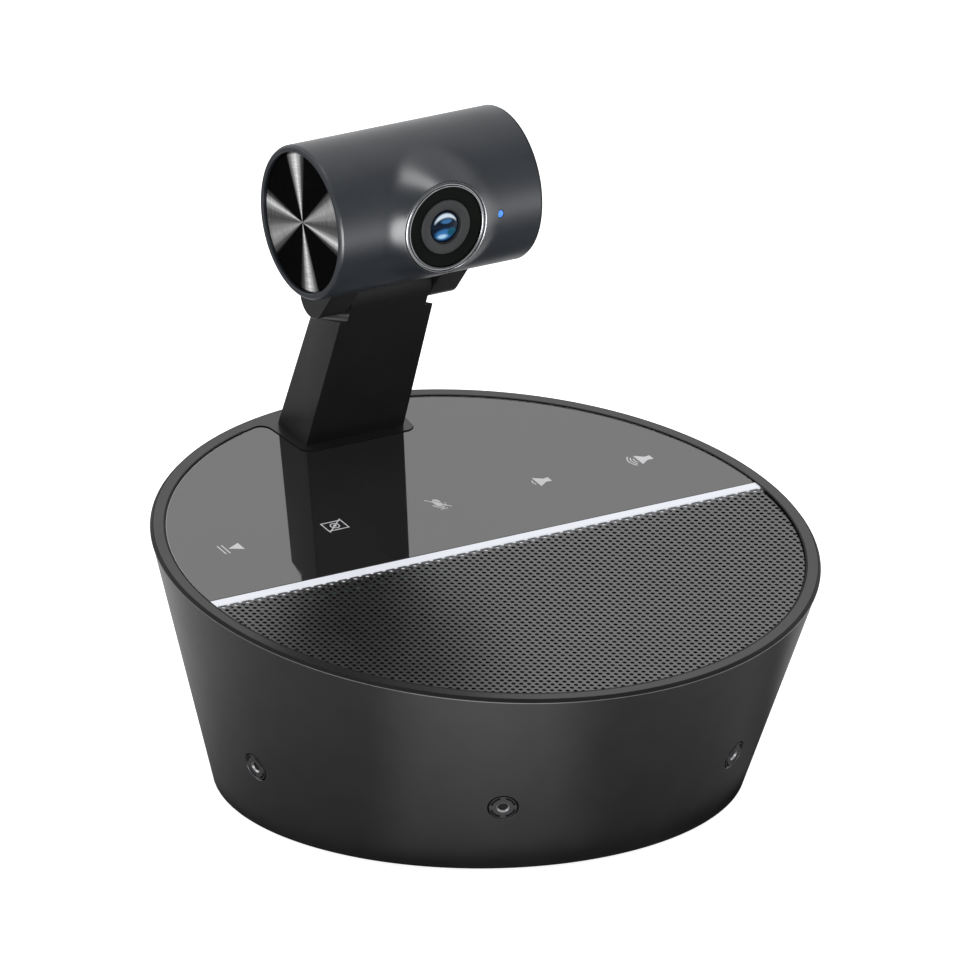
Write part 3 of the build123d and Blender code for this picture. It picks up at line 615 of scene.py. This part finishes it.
def grille_holes(radius, edge):
    holes = []
    columns = int(radius / COLUMN_PITCH) + 1
    rows = int(radius / ROW_PITCH) + 1
    for i in range(-columns, columns + 1):
        for j in range(rows):
            x = i * COLUMN_PITCH
            y = edge - FIRST_ROW - (j - 1 - (i % 2) / 2) * ROW_PITCH
            if hypot(x, y) < radius + HOLE_R:
                holes.append(arc(HOLE_R, 0, 360, HOLE_SIDES, (x, y))[:-1])
    return holes


def front_arc(outer, inner, turn):
    """Outline of a narrow strip round the front half of the rim, up to a turn behind its X axis."""
    return arc(outer, 180 - turn, 360 + turn, 120) + arc(inner, 360 + turn, 180 - turn, 120)


def grille():
    """Pressed sheet with staggered round holes, cut off at its edge, its folded border and a gasket."""
    across, back, up = rim_points("speaker_grille").T
    opening = np.hypot(across, back).max()
    radius = opening - GRILLE_GAP
    edge = back.max()
    low, top = up.min(), up.max()
    end = turn_at(edge, opening)
    reach = turn_at(edge + OVERLAP, opening)
    outline = arc(radius, 180 - reach, 360 + reach, 180)
    sheet = plate("grille_sheet", [outline], grille_holes(radius, edge), top - SHEET_T, top)
    finish_piece(sheet, "grille_steel", "base", "speaker_grille")
    fold = plate("grille_border", [front_arc(radius, radius - SHEET_T, end)], [], low, top - SHEET_T)
    finish_piece(fold, "grille_steel", "base")
    fill = plate("grille_gasket", [front_arc(opening, radius + SLACK, end)], [], low, low + GASKET_T)
    finish_piece(fill, "inner_black_plastic", "base")
    light_guide(opening, edge, top - SHEET_T)


def light_guide(radius, edge, step):
    """Frosted bar with a step that runs on under the grille's edge, and a black seal in front of it."""
    across, back, up = rim_points("light_bar").T
    low, high, rear = up.min(), up.max(), back.max()
    front = edge + OVERLAP
    bevel = 0.12
    ledge = step - 0.03
    guide = [(back.min(), low), (back.min(), ledge), (front, ledge), (front, high - bevel),
             (front + bevel, high), (rear - bevel, high), (rear, high - bevel), (rear, low)]
    bar = strip("light_guide", guide, radius)
    finish_piece(bar, "light_diffuser", "base", "light_bar")
    ahead, behind = edge - 0.5, edge - SLACK
    seal = [(ahead, low), (ahead, step - SLACK), (behind, step - SLACK), (behind, low)]
    finish_piece(strip("grille_seal", seal, radius - SHEET_T), "surround_rubber", "base")


def strip(name, profile, radius):
    """A strip across the rim, from a loop of (back, up) points, with ends on a circle."""
    points = []
    for side in (-1, 1):
        points += [on_rim(side * (radius ** 2 - back ** 2) ** 0.5, back, up) for back, up in profile]
    n = len(profile)
    faces = [[i, (i + 1) % n, (i + 1) % n + n, i + n] for i in range(n)]
    faces += [list(range(n)), list(range(2 * n - 1, n - 1, -1))]
    return new_object(name, points, faces)


def stroke(line, width):
    """A line of points as a closed outline of that width."""
    left = []
    right = []
    for i, point in enumerate(line):
        before = Vector(line[max(i - 1, 0)])
        after = Vector(line[min(i + 1, len(line) - 1)])
        along = (after - before).normalized()
        side = Vector((-along.y, along.x)) * width / 2
        left.append(tuple(Vector(point) + side))
        right.append(tuple(Vector(point) - side))
    return left + right[::-1]


def frame_lines(half_width, half_height, width):
    """The four sides of a rectangle as outlines."""
    x = half_width + width / 2
    sides = [[(-x, s * half_height), (x, s * half_height)] for s in (-1, 1)]
    sides += [[(s * half_width, -half_height), (s * half_width, half_height)] for s in (-1, 1)]
    return [stroke(side, width) for side in sides]


def key_symbols():
    """The five printed key symbols: fills, and lines that are cut out of them."""
    line = 0.34
    play = [[(-0.7, 0), (3.2, -1.85), (3.2, 1.85)],
            stroke([(-2.9, -2.4), (-2.9, 2.4)], line), stroke([(-1.6, -2.4), (-1.6, 2.4)], line)]
    slash = [(-3.2, -2.9), (3.2, 2.9)]
    camera = frame_lines(3.1, 2.2, line)
    camera += [stroke(arc(1.25, 0, 180, 16), line), stroke(arc(1.25, 180, 360, 16), line),
               arc(0.5, 0, 360, 16)[:-1], stroke(slash, line)]
    capsule = arc(1.1, 0, 180, 12, (0, 1.2)) + arc(1.1, 180, 360, 12, (0, -0.6))
    mute = [capsule, stroke(arc(1.9, 180, 360, 16, (0, -0.4)), line),
            stroke([(0, -2.3), (0, -3.3)], line), stroke([(-1.1, -3.3), (1.1, -3.3)], line),
            stroke([(-2.6, 2.9), (2.6, -2.9)], line)]
    horn = [(-1.2, -2.6), (1.4, -0.9), (3.1, -1.1), (3.1, 1.1), (1.4, 0.9), (-1.2, 2.6)]
    waves = [stroke(arc(radius, 180 - half, 180 + half, 12, (-0.6, 0)), line)
             for radius, half in ((1.7, 40), (2.6, 46), (3.5, 50))]
    return [("key_play_pause", play, []), ("key_camera_off", camera, []),
            ("key_mic_mute", mute, [stroke([(-2.2, 3.4), (3.0, -2.4)], 0.3)]),
            ("key_volume_down", [horn, waves[0]], []), ("key_volume_up", [horn] + waves, [])]


def touch_keys():
    glass = rim_points("touch_panel")[:, 2].max()
    symbols = key_symbols()
    first = -KEY_PITCH * (len(symbols) - 1) / 2
    for i, (name, fills, cuts) in enumerate(symbols):
        def place(across, back, up, x=first + KEY_PITCH * i):
            return on_rim(x + across, KEY_V + back, up)
        symbol = plate(name, fills, cuts, glass, glass + PRINT_T, place)
        finish_piece(symbol, "icon_print", "base").visible_glossy = False
    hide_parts("touch_icons")


def base_pieces():
    grille()
    touch_keys()
    finish_piece(softened("touch_panel", "panel_glass_sheet", 0.12), "panel_glass", "base")
    rim_shade_band_and_bead()
    rim_seam()
    glass_glint()
    mic_caps()
    arm_shell()


def rim_loop(chosen, turns):
    """Radius and height of one of the rim's edge loops at each turn round the rim."""
    across, back, up = rim_points("housing")[chosen].T
    own_turns = np.arctan2(back, across)
    radius = np.hypot(across, back)
    return [np.interp(turns, own_turns, measure, period=tau) for measure in (radius, up)]


def rim_band(name, turns, loops, slot):
    """A closed ring round the rim, from loops of (radius, up) arrays."""
    points = [on_rim(radius[i] * cos(turn), radius[i] * sin(turn), up[i])
              for radius, up in loops for i, turn in enumerate(turns)]
    n = len(turns)
    faces = []
    for k in range(len(loops)):
        first, second = k * n, (k + 1) % len(loops) * n
        faces += [[first + i, first + (i + 1) % n, second + (i + 1) % n, second + i] for i in range(n)]
    finish_piece(new_object(name, points, faces), slot, "base")


def rim_shade_band_and_bead():
    """A matt black band laid on the rim's chamfer, painted shade that keeps the chamfer dark where it would
    reflect light, and a small bright bead along its lower edge.
    """
    across, back, up = rim_points("housing").T
    radius = np.hypot(across, back)
    turns = np.linspace(-pi, pi, RIM_STEPS, endpoint=False)
    top, top_up = rim_loop((radius > CHAMFER_TOP_R) & (up > -0.1), turns)
    low, low_up = rim_loop((radius > CHAMFER_FOOT_R) & (up < -0.5) & (up > -1.0), turns)
    # Painted shade: a matt black band over the chamfer.
    band = [(top - 0.25, top_up + 0.005), (top, top_up + 0.012), (low + 0.012, low_up), (low - 0.4, low_up),
            (top - 0.4, top_up - 0.2)]
    rim_band("rim_edge", turns, band, "inner_black_plastic")
    bead = [(low - 0.2 + RIM_BEAD * cos(a), low_up - 0.2 + RIM_BEAD * sin(a))
            for a in np.linspace(0, tau, 14, endpoint=False)]
    rim_band("rim_bead", turns, bead, "dark_chrome")


def rim_seam():
    """A matt line along the rim's inner edge, on both sides of the arm's tab."""
    inner = np.hypot(*rim_points("speaker_grille")[:, :2].T).max()
    start, end = 90 + TAB_TURN, 450 - TAB_TURN
    seam = arc(inner + SEAM_WIDTH, start, end, 300) + arc(inner, end, start, 300)
    finish_piece(plate("rim_seam", [seam], [], -0.01, SEAM_T), "inner_black_plastic", "base")


def glass_glint():
    """A painted highlight: a fine light line printed along the round edge of the glass, on both sides of the
    arm's tab, in place of the glint on its edge.
    """
    across, back, up = rim_points("touch_panel").T
    outer = np.hypot(across, back).max() - GLINT_INSET
    level = up.max()
    front = degrees(atan2(back.min() + 0.3, outer))
    for name, start, end in (("glass_glint_left", 90 + TAB_TURN, 180 - front),
                             ("glass_glint_right", front, 90 - TAB_TURN)):
        # Painted highlight: a thin light line printed on the glass.
        line = arc(outer, start, end, 120) + arc(outer - GLINT_WIDTH, end, start, 120)
        glint = finish_piece(plate(name, [line], [], level, level + GLINT_T), "icon_print", "base")
        glint.visible_glossy = False


def mic_places():
    """A place function for each microphone: across, up and out from the middle of its cap's face."""
    points = node_points("mic_plugs")
    turn = np.arctan2(points[:, 0], points[:, 1] - points[:, 1].mean())
    order = np.argsort(turn)
    gaps = np.flatnonzero(np.diff(turn[order]) > MIC_TURN_GAP) + 1
    places = []
    for group in np.split(order, gaps):
        plug = points[group]
        inside = plug - plug.mean(axis=0)
        out = Vector(np.linalg.svd(inside, full_matrices=False)[2][2])
        out *= 1 if out.dot(Vector((*plug.mean(axis=0)[:2], 0))) > 0 else -1
        side = Vector((0, 0, 1)).cross(out).normalized()
        axes = [side, out.cross(side), out]
        reach = inside @ np.array(axes).T
        high, low = reach.max(axis=0), reach.min(axis=0)
        face = [(high[0] + low[0]) / 2, (high[1] + low[1]) / 2, high[2]]
        face = Vector(plug.mean(axis=0)) + sum((axis * d for axis, d in zip(axes, face)), Vector())

        def place(across, up, along, face=face, axes=axes):
            return face + axes[0] * across + axes[1] * up + axes[2] * along
        places.append(place)
    return places


def mic_rings():
    """Name, slot, number of sides and (radius, out) profile of the turned parts of a microphone cap."""
    inner, outer = MIC_HOLE_R - 0.02, MIC_CAP_R - 0.04
    lip = MIC_SEAT_R - 0.18
    seat = [(MIC_SEAT_R, -0.02), (lip, -0.3), (lip, -MIC_DEPTH), (MIC_SEAT_R, -MIC_DEPTH)]
    dish = [(inner, -0.04), (inner - 0.06, -0.05), (1.32, -0.5), (1.32, -MIC_DEPTH), (inner, -MIC_DEPTH)]
    gauze = [(0.001, -1.15), (0.7, -1.1), (1.3, -0.9), (1.3, -1.6), (0.001, -1.6)]
    wall = [(outer, -0.45), (outer, -MIC_DEPTH), (MIC_HOLE_R, -MIC_DEPTH), (MIC_HOLE_R, -0.45)]
    return (("seat", "dark_chrome", 72, seat), ("dish", "zinc_steel", 40, dish),
            ("gauze", "inner_black_plastic", 32, gauze), ("wall", "inner_black_plastic", 48, wall))


def mic_caps():
    """Six caps, each a face with four groove arcs in a bright seat, and a bright dish in its sound hole."""
    grooves = [arc(3.5, a + 14, a + 76, 14) + arc(2.9, a + 76, a + 14, 14) for a in (0, 90, 180, 270)]
    disc = arc(MIC_CAP_R, 0, 360, 72)[:-1]
    cuts = grooves + [arc(MIC_HOLE_R, 0, 360, 40)[:-1]]
    for i, place in enumerate(mic_places()):
        face = plate("mic_face_%d" % i, [disc], cuts, -0.5, 0.0, place)
        soften(face, 0.13)
        finish_piece(face, "mic_plastic", "base")
        for name, slot, sides, profile in mic_rings():
            finish_piece(turned("mic_%s_%d" % (name, i), profile, place, sides), slot, "base")
    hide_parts("mic_plugs")


def arm_shell():
    """The arm with soft edges, and a matt black cover round its knuckle between the ears, painted shade that
    keeps the knuckle dark where its glossy curve would reflect light.
    """
    finish_piece(softened("arm_body", "arm_shell", 0.3), "gloss_black_plastic", "base")
    # Painted shade: a matt black cover over the knuckle's front.
    start, end = 2 - EAR_LEAN, 150 - EAR_LEAN
    shade_sleeve = arc(KNUCKLE_R + 0.2, start, end, 96) + arc(KNUCKLE_R - 0.1, end, start, 96)
    half = EAR_IN - 0.15
    shade_sleeve = plate("knuckle_sleeve", [shade_sleeve], [], -half, half, about_hinge)
    finish_piece(shade_sleeve, "inner_black_plastic", "base")


# ---------------------------------------------------------------- camera head

def boss_front(x, z):
    """y of the skin from the boss's face, down its flank and on along the barrel."""
    share = np.clip((np.hypot(x, z - LENS.z) - BOSS_R) / FLARE, 0, 1)
    barrel_front = BARREL.y - np.sqrt(np.maximum(BARREL_R ** 2 - (z - BARREL.z) ** 2, 0))
    return BOSS_FACE + (barrel_front - BOSS_FACE) * (1 - (1 - share) ** 2)


def skin_radius(x, turn):
    """Distance from the barrel's axis to its skin, by halving."""
    low = np.full_like(x, BARREL_R * 0.9)
    high = np.full_like(x, BARREL_R * 1.6)
    for _ in range(40):
        guess = (low + high) / 2
        y = BARREL.y - guess * np.cos(turn)
        z = BARREL.z + guess * np.sin(turn)
        out = (guess > BARREL_R) & ((y < boss_front(x, z)) | (y > BARREL.y))
        high = np.where(out, guess, high)
        low = np.where(out, low, guess)
    return (low + high) / 2


def skin_grid(x, turn):
    """Points of the skin over a grid of places along and round the barrel."""
    radius = skin_radius(x, turn)
    y = BARREL.y - radius * np.cos(turn)
    z = BARREL.z + radius * np.sin(turn)
    return np.stack([x, y, z], axis=-1)


def grid_faces(rows, columns, first=0):
    faces = []
    for i in range(rows - 1):
        start = first + i * columns
        faces += [[start + j, start + j + 1, start + columns + j + 1, start + columns + j]
                  for j in range(columns - 1)]
    return faces


def lens_patch():
    """The front of the barrel, from the lens bore out to a rectangle."""
    half = BARREL_HALF - END_LENGTH
    turn = radians(PATCH_TURN)
    angles = np.linspace(0, tau, 193)
    square = np.maximum(np.abs(np.cos(angles)), np.abs(np.sin(angles)))
    outer_x = half * np.cos(angles) / square
    outer_turn = turn * np.sin(angles) / square
    rings = []
    reach = BARREL.y - BOSS_FACE
    for radius in (LENS_BORE, BOSS_R - 0.04, BOSS_R + 0.04, 13.2, 13.5, 13.8, 14.1, 14.4, 14.7):
        height = LENS.z - BARREL.z + radius * np.sin(angles)
        rings.append((radius * np.cos(angles), np.arctan2(height, reach)))
    last_x, last_turn = rings[-1]
    for share in np.linspace(0, 1, 45)[1:]:
        rings.append((last_x + (outer_x - last_x) * share, last_turn + (outer_turn - last_turn) * share))
    x = np.array([ring[0] for ring in rings])
    turns = np.array([ring[1] for ring in rings])
    return skin_grid(x, turns), outer_x, outer_turn


def end_lip(points, side):
    """Rings from the barrel's side round its end and back into its bore."""
    rings = []
    profile = [(BARREL_R, BARREL_HALF - END_LENGTH), (BARREL_R - 0.25, BARREL_HALF - 0.3),
               (BARREL_R - 0.7, BARREL_HALF), (BARREL_IN_R + 0.1, BARREL_HALF),
               (BARREL_IN_R, BARREL_HALF - 0.1), (BARREL_IN_R, BARREL_HALF - LIP_DEPTH)]
    for radius, along in profile:
        rings.append([about_barrel(radius * cos(t), radius * sin(t), side * along) for t in points])
    return rings


def barrel_skin():
    """Barrel, flared lens boss and rounded ends in one skin, thickened inwards."""
    patch, outer_x, outer_turn = lens_patch()
    rows, columns = patch.shape[:2]
    points = [Vector(p) for p in patch.reshape(-1, 3)]
    faces = grid_faces(rows, columns)
    half = BARREL_HALF - END_LENGTH
    turn = radians(PATCH_TURN)
    across = np.unique(np.round(outer_x[np.abs(outer_turn) > turn - 1e-6], 6))
    side_turns = np.unique(np.round(outer_turn[np.abs(outer_x) > half - 1e-6], 9))
    back_turns = np.linspace(turn, tau - turn, 49)
    grid_x, grid_turn = np.meshgrid(across, back_turns)
    faces += grid_faces(len(back_turns), len(across), len(points))
    points += [Vector(p) for p in skin_grid(grid_x, grid_turn).reshape(-1, 3)]
    around = list(side_turns) + list(back_turns[1:])
    for side in (-1, 1):
        rings = end_lip(around, side)
        faces += grid_faces(len(rings), len(around), len(points))
        points += [p for ring in rings for p in ring]
    skin = new_object("head_barrel", points, faces, SKIN_SHARP)
    wall = skin.modifiers.new("wall", "SOLIDIFY")
    wall.thickness = SKIN_T * MM
    wall.offset = -1
    return skin


def ear_outline():
    """Side view of an ear as (forward, up) from the hinge: a knuckle that widens into the barrel."""
    lean = radians(EAR_LEAN)
    axis_turn = atan2(HINGE.y - BARREL.y, BARREL.z - HINGE.z)
    back_lean = 2 * axis_turn - lean
    front = (KNUCKLE_R * cos(lean) + EAR_LENGTH * sin(lean), EAR_LENGTH * cos(lean) - KNUCKLE_R * sin(lean))
    back = (EAR_LENGTH * sin(back_lean) - KNUCKLE_R * cos(back_lean),
            EAR_LENGTH * cos(back_lean) + KNUCKLE_R * sin(back_lean))
    knuckle = arc(KNUCKLE_R, 180 - degrees(back_lean), 360 - EAR_LEAN, 40)
    return [front, back] + knuckle


def ears():
    cap = arc(CAP_HOLE_R, 0, 360, 48)[:-1]
    for name, low, high, cuts in (("ear_left", -EAR_OUT, -EAR_IN, []), ("ear_right", EAR_IN, EAR_OUT, [cap])):
        ear = plate(name, [ear_outline()], cuts, low, high, about_hinge)
        soften(ear, 0.35)
        finish_piece(ear, "gloss_black_plastic", "head")


def lens_parts():
    """Trim ring, window, collar and front glass, turned about the lens axis."""
    front = LENS.y - 2.5
    ring = [(12.78, front + 4.8), (12.78, front + 0.35), (12.68, front + 0.1), (12.5, front),
            (12.3, front + 0.05), (12.15, front + 0.25), (12.05, front + 0.5), (11.8, front + 0.5),
            (11.7, front + 0.25), (11.6, front + 0.1), (11.4, front + 0.08), (11.22, front + 0.2),
            (11.16, front + 0.6), (11.16, front + 4.8)]
    finish_piece(turned("lens_trim", ring, about_lens), "dark_chrome", "head", "lens_ring")
    window = [(11.14, front + 1.9), (11.14, front + 0.8), (11.0, front + 0.72), (7.9, front + 0.95),
              (7.65, front + 1.1), (7.65, front + 1.9)]
    finish_piece(turned("lens_surround", window, about_lens), "window_black", "head", "lens_window")
    collar = [(7.58, front + 3.5), (7.58, front + 0.62), (7.45, front + 0.5), (7.3, front + 0.46),
              (4.95, front + 0.62), (4.8, front + 0.68), (4.6, front + 1.4), (4.42, front + 1.6),
              (4.42, front + 3.5)]
    finish_piece(turned("lens_collar", collar, about_lens), "bezel_grey", "head", "lens_barrel")
    rim, rise = 4.35, 1.1
    ball = (rim ** 2 + rise ** 2) / (2 * rise)
    top = front + 0.1
    edge = np.arcsin(rim / ball)
    dome = [(ball * sin(a), top + ball - ball * cos(a)) for a in np.linspace(0.0001, edge, 14)]
    dome += [(rim, front + 3.2), (0.001, front + 3.2)]
    finish_piece(turned("lens_glass", dome, about_lens), "coated_glass", "head", "front_lens")


def end_discs():
    """Spun discs with a chamfered edge and a small turned centre."""
    out = BARREL_HALF - 0.7
    centre = [(0.001, out - 1.1), (0.001, out - 0.18), (0.35, out - 0.16), (0.55, out - 0.02), (0.75, out)]
    edge = [(18.5, out), (18.65, out - 0.03), (19.15, out - 0.45), (19.22, out - 0.6), (19.22, out - 1.1)]
    for name, side in (("left", -1), ("right", 1)):
        profile = [(r, side * along) for r, along in centre + edge]
        disc = turned("spun_disc_" + name, profile, about_barrel, 160)
        finish_piece(disc, "spun_black_metal", "head", "end_disc_" + name)


def end_bead():
    """Matt ring over the chamfers at the barrel's plain end."""
    out = BARREL_HALF
    profile = [(BARREL_R, out - 0.9), (BARREL_R + 0.01, out - 0.8), (BARREL_R - 0.24, out - 0.28),
               (BARREL_R - 0.69, out), (BARREL_R - 0.9, out - 0.2), (BARREL_R - 0.6, out - 0.9)]
    finish_piece(turned("end_bead", profile, about_barrel, 160), "inner_black_plastic", "head")


def status_dot():
    """Blue window of the status light, a shallow dome in a dark seat."""
    surface = skin_radius(np.array([LED_X]), np.array([0.0]))[0]
    y = BARREL.y - surface

    def place(across, up, along):
        return Vector((LED_X + across, y - along, LENS.z + up))
    dome = [(0.001, 0.12), (LED_R * 0.5, 0.09), (LED_R * 0.85, 0.03), (LED_R, -0.06), (LED_R, -0.5),
            (0.001, -0.5)]
    window = finish_piece(turned("status_window", dome, place, 48), "led_blue", "head")
    window.visible_glossy = False
    seat = [(LED_R + 0.02, 0.01), (LED_R + 0.22, 0.0), (LED_R + 0.24, -0.4), (LED_R + 0.02, -0.4)]
    finish_piece(turned("status_seat", seat, place, 48), "inner_black_plastic", "head")


def head_pieces():
    finish_piece(barrel_skin(), "head_black_plastic", "head", "head_shell")
    ears()
    lens_parts()
    end_discs()
    end_bead()
    status_dot()


# ---------------------------------------------------------------- studio

PHOTO_SIZE = (970, 971)
TARGET = Vector((0, 3.81, 60.8))
AZIMUTH = -31.859
ELEVATION = 20.385
DISTANCE = 4276.0
SLIDE = (1.772, 20.608)
SENSOR = 36.0
FOCAL = 15925.5 * SENSOR / PHOTO_SIZE[1]


def camera():
    turn = radians(AZIMUTH)
    rise = radians(ELEVATION)
    back = Vector((sin(turn) * cos(rise), -cos(turn) * cos(rise), sin(rise)))
    right = Vector((cos(turn), sin(turn), 0))
    up = back.cross(right)
    place = TARGET + back * DISTANCE + right * SLIDE[0] + up * SLIDE[1]
    data = bpy.data.cameras.new("camera")
    data.lens = FOCAL
    data.sensor_width = SENSOR
    data.clip_end = 100
    view = bpy.data.objects.new("camera", data)
    rotation = Matrix((right, up, back)).transposed().to_4x4()
    view.matrix_world = Matrix.Translation(place * MM) @ rotation
    bpy.context.scene.collection.objects.link(view)
    bpy.context.scene.camera = view


# Soft lamps that only light the camera head: direction, half width in degrees, brightness.
HEAD_LAMPS = (
    ((-0.27, -0.93, -0.25), 21.0, 17.0),
    ((0.02, -0.04, 1.0), 12.0, 9.5),
)
HEAD_PIECES = ("head_barrel", "lens_trim", "lens_collar")
# Glow low behind the object: direction, half width in degrees, brightness.
BACK_GLOW = ((0.495, 0.796, -0.348), 25.0, 0.4)
# Brightness of the studio against height, from straight down to straight up.
FRONT_LIGHT = [(0.0, 0.33), (0.18, 0.38), (0.26, 1.3), (0.36, 3.1), (0.44, 2.3), (0.56, 0.85), (0.66, 0.5),
               (0.85, 0.45), (1.0, 0.75)]
BACK_LIGHT = [(0.0, 0.2), (0.33, 0.25), (0.45, 0.8), (0.5, 1.06), (1.0, 1.06)]


def with_glow(w, light, place):
    """The world's light and a soft round glow."""
    direction, half_width, brightness = BACK_GLOW
    dot = w.add("ShaderNodeVectorMath", operation="DOT_PRODUCT")
    dot.inputs[1].default_value = Vector(direction).normalized()
    w.link(place, dot.inputs[0])
    glow = w.ramp(dot.outputs["Value"], cos(radians(half_width)), 1.0, 0.0, brightness)
    total = w.add("ShaderNodeVectorMath", operation="ADD")
    w.link(light, total.inputs[0])
    w.link(glow, total.inputs[1])
    return total.outputs[0]


def studio_world():
    """White to the camera; in reflections, a white back wall, a bright band low in front and a glow."""
    world = bpy.data.worlds.new("studio")
    world.use_nodes = True
    w = Nodes(world.node_tree)
    w.tree.nodes.clear()
    place = w.add("ShaderNodeTexCoord").outputs["Generated"]
    split = w.add("ShaderNodeSeparateXYZ")
    w.link(place, split.inputs[0])
    height = w.add("ShaderNodeMapRange")
    height.inputs["From Min"].default_value = -1
    w.link(split.outputs["Z"], height.inputs["Value"])
    behind = w.ramp(split.outputs["Y"], -0.1, 0.45)
    light = w.mix(behind, w.greys(height.outputs[0], FRONT_LIGHT), w.greys(height.outputs[0], BACK_LIGHT))
    light = with_glow(w, light, place)
    camera_ray = w.add("ShaderNodeLightPath").outputs["Is Camera Ray"]
    background = w.add("ShaderNodeBackground")
    w.link(w.mix(camera_ray, light, (1, 1, 1, 1)), background.inputs["Color"])
    out = w.add("ShaderNodeOutputWorld")
    w.link(background.outputs[0], out.inputs[0])
    bpy.context.scene.world = world


def head_lamps():
    """Far round lamps that shine on the pieces of the head alone."""
    lit = bpy.data.collections.new("head_lit")
    for piece in bpy.data.objects:
        if piece.type == "MESH" and piece.name in HEAD_PIECES:
            lit.objects.link(piece)
    for i, (direction, half_width, brightness) in enumerate(HEAD_LAMPS):
        data = bpy.data.lights.new("head_lamp_%d" % i, "SUN")
        data.angle = radians(2 * half_width)
        data.energy = brightness * tau * (1 - cos(radians(half_width)))
        lamp = bpy.data.objects.new(data.name, data)
        lamp.rotation_euler = Vector(direction).to_track_quat("Z", "Y").to_euler()
        bpy.context.scene.collection.objects.link(lamp)
        lamp.light_linking.receiver_collection = lit


def stage_plane(name, half, height):
    mesh = bpy.data.meshes.new(name)
    corners = [(-half, -half, height), (half, -half, height), (half, half, height), (-half, half, height)]
    mesh.from_pydata(corners, [], [(0, 1, 2, 3)])
    plane = bpy.data.objects.new(name, mesh)
    bpy.context.scene.collection.objects.link(plane)
    return plane


def floor():
    """Pale floor that stays clear of reflections."""
    ground = stage_plane("floor", 8.0, 0.0)
    s = Surface("floor_paper", (0.85, 0.85, 0.85), 0.9)
    s.vary_colour(s.noise(400.0, 2.0), 0.01)
    s.shader.inputs["Roughness"].default_value = 0.9
    s.shader.inputs["Specular IOR Level"].default_value = 0.0
    s.shader.inputs["Emission Color"].default_value = (1, 1, 1, 1)
    s.shader.inputs["Emission Strength"].default_value = 0.9
    ground.data.materials.append(s.material)
    ground.visible_glossy = False


# What the floor shows in reflections: brightness against distance from the middle (share of
# FLOOR_CARD), and against the turn from the camera's side (share of a full turn).
FLOOR_CARD = 0.3
NEAR_FLOOR = [(0.0, 0.0), (0.238, 0.0), (0.255, 0.12), (0.42, 0.36), (0.6, 0.5), (1.0, 0.5)]
AROUND_FLOOR = [(0.0, 1.0), (0.04, 0.85), (0.09, 0.25), (0.22, 0.22), (0.29, 0.08), (0.34, 0.3), (0.6, 0.35),
                (0.85, 0.25), (0.91, 0.25), (0.96, 0.85), (1.0, 1.0)]
AROUND_SCALE = 4.5


def floor_card():
    """A card on the floor that only reflections see: dark under the object, bright on the camera's side."""
    card = stage_plane("floor_card", FLOOR_CARD, 0.0002)
    s = Surface("floor_card", (0, 0, 0), 1.0)
    split = s.add("ShaderNodeSeparateXYZ")
    s.link(s.place, split.inputs[0])
    x, y = split.outputs["X"], split.outputs["Y"]
    share = s.math("DIVIDE", s.length(x, y), FLOOR_CARD)
    turn = s.math("DIVIDE", s.math("ARCTAN2", x, s.math("MULTIPLY", y, -1.0)), tau)
    turn = s.math("FRACT", s.math("ADD", turn, 1.0 - AZIMUTH / 360.0))
    light = s.math("MULTIPLY", s.greys(share, NEAR_FLOOR, "LINEAR"), s.greys(turn, AROUND_FLOOR))
    glow = s.add("ShaderNodeEmission")
    s.link(s.math("MULTIPLY", light, AROUND_SCALE), glow.inputs["Strength"])
    clear = s.add("ShaderNodeBsdfTransparent")
    both = s.add("ShaderNodeMixShader")
    s.link(s.ramp(share, 0.75, 1.0), both.inputs[0])
    s.link(glow.outputs[0], both.inputs[1])
    s.link(clear.outputs[0], both.inputs[2])
    s.tree.nodes.remove(s.shader)
    s.link(both.outputs[0], s.tree.nodes["Material Output"].inputs["Surface"])
    card.data.materials.append(s.material)
    for rays in ("camera", "diffuse", "transmission", "volume_scatter", "shadow"):
        setattr(card, "visible_" + rays, False)


def studio():
    camera()
    studio_world()
    floor()
    floor_card()
    bpy.context.scene.view_settings.view_transform = "Standard"


studio()
dress_nodes()
base_pieces()
head_pieces()
head_lamps()

bpy.context.view_layer.update()
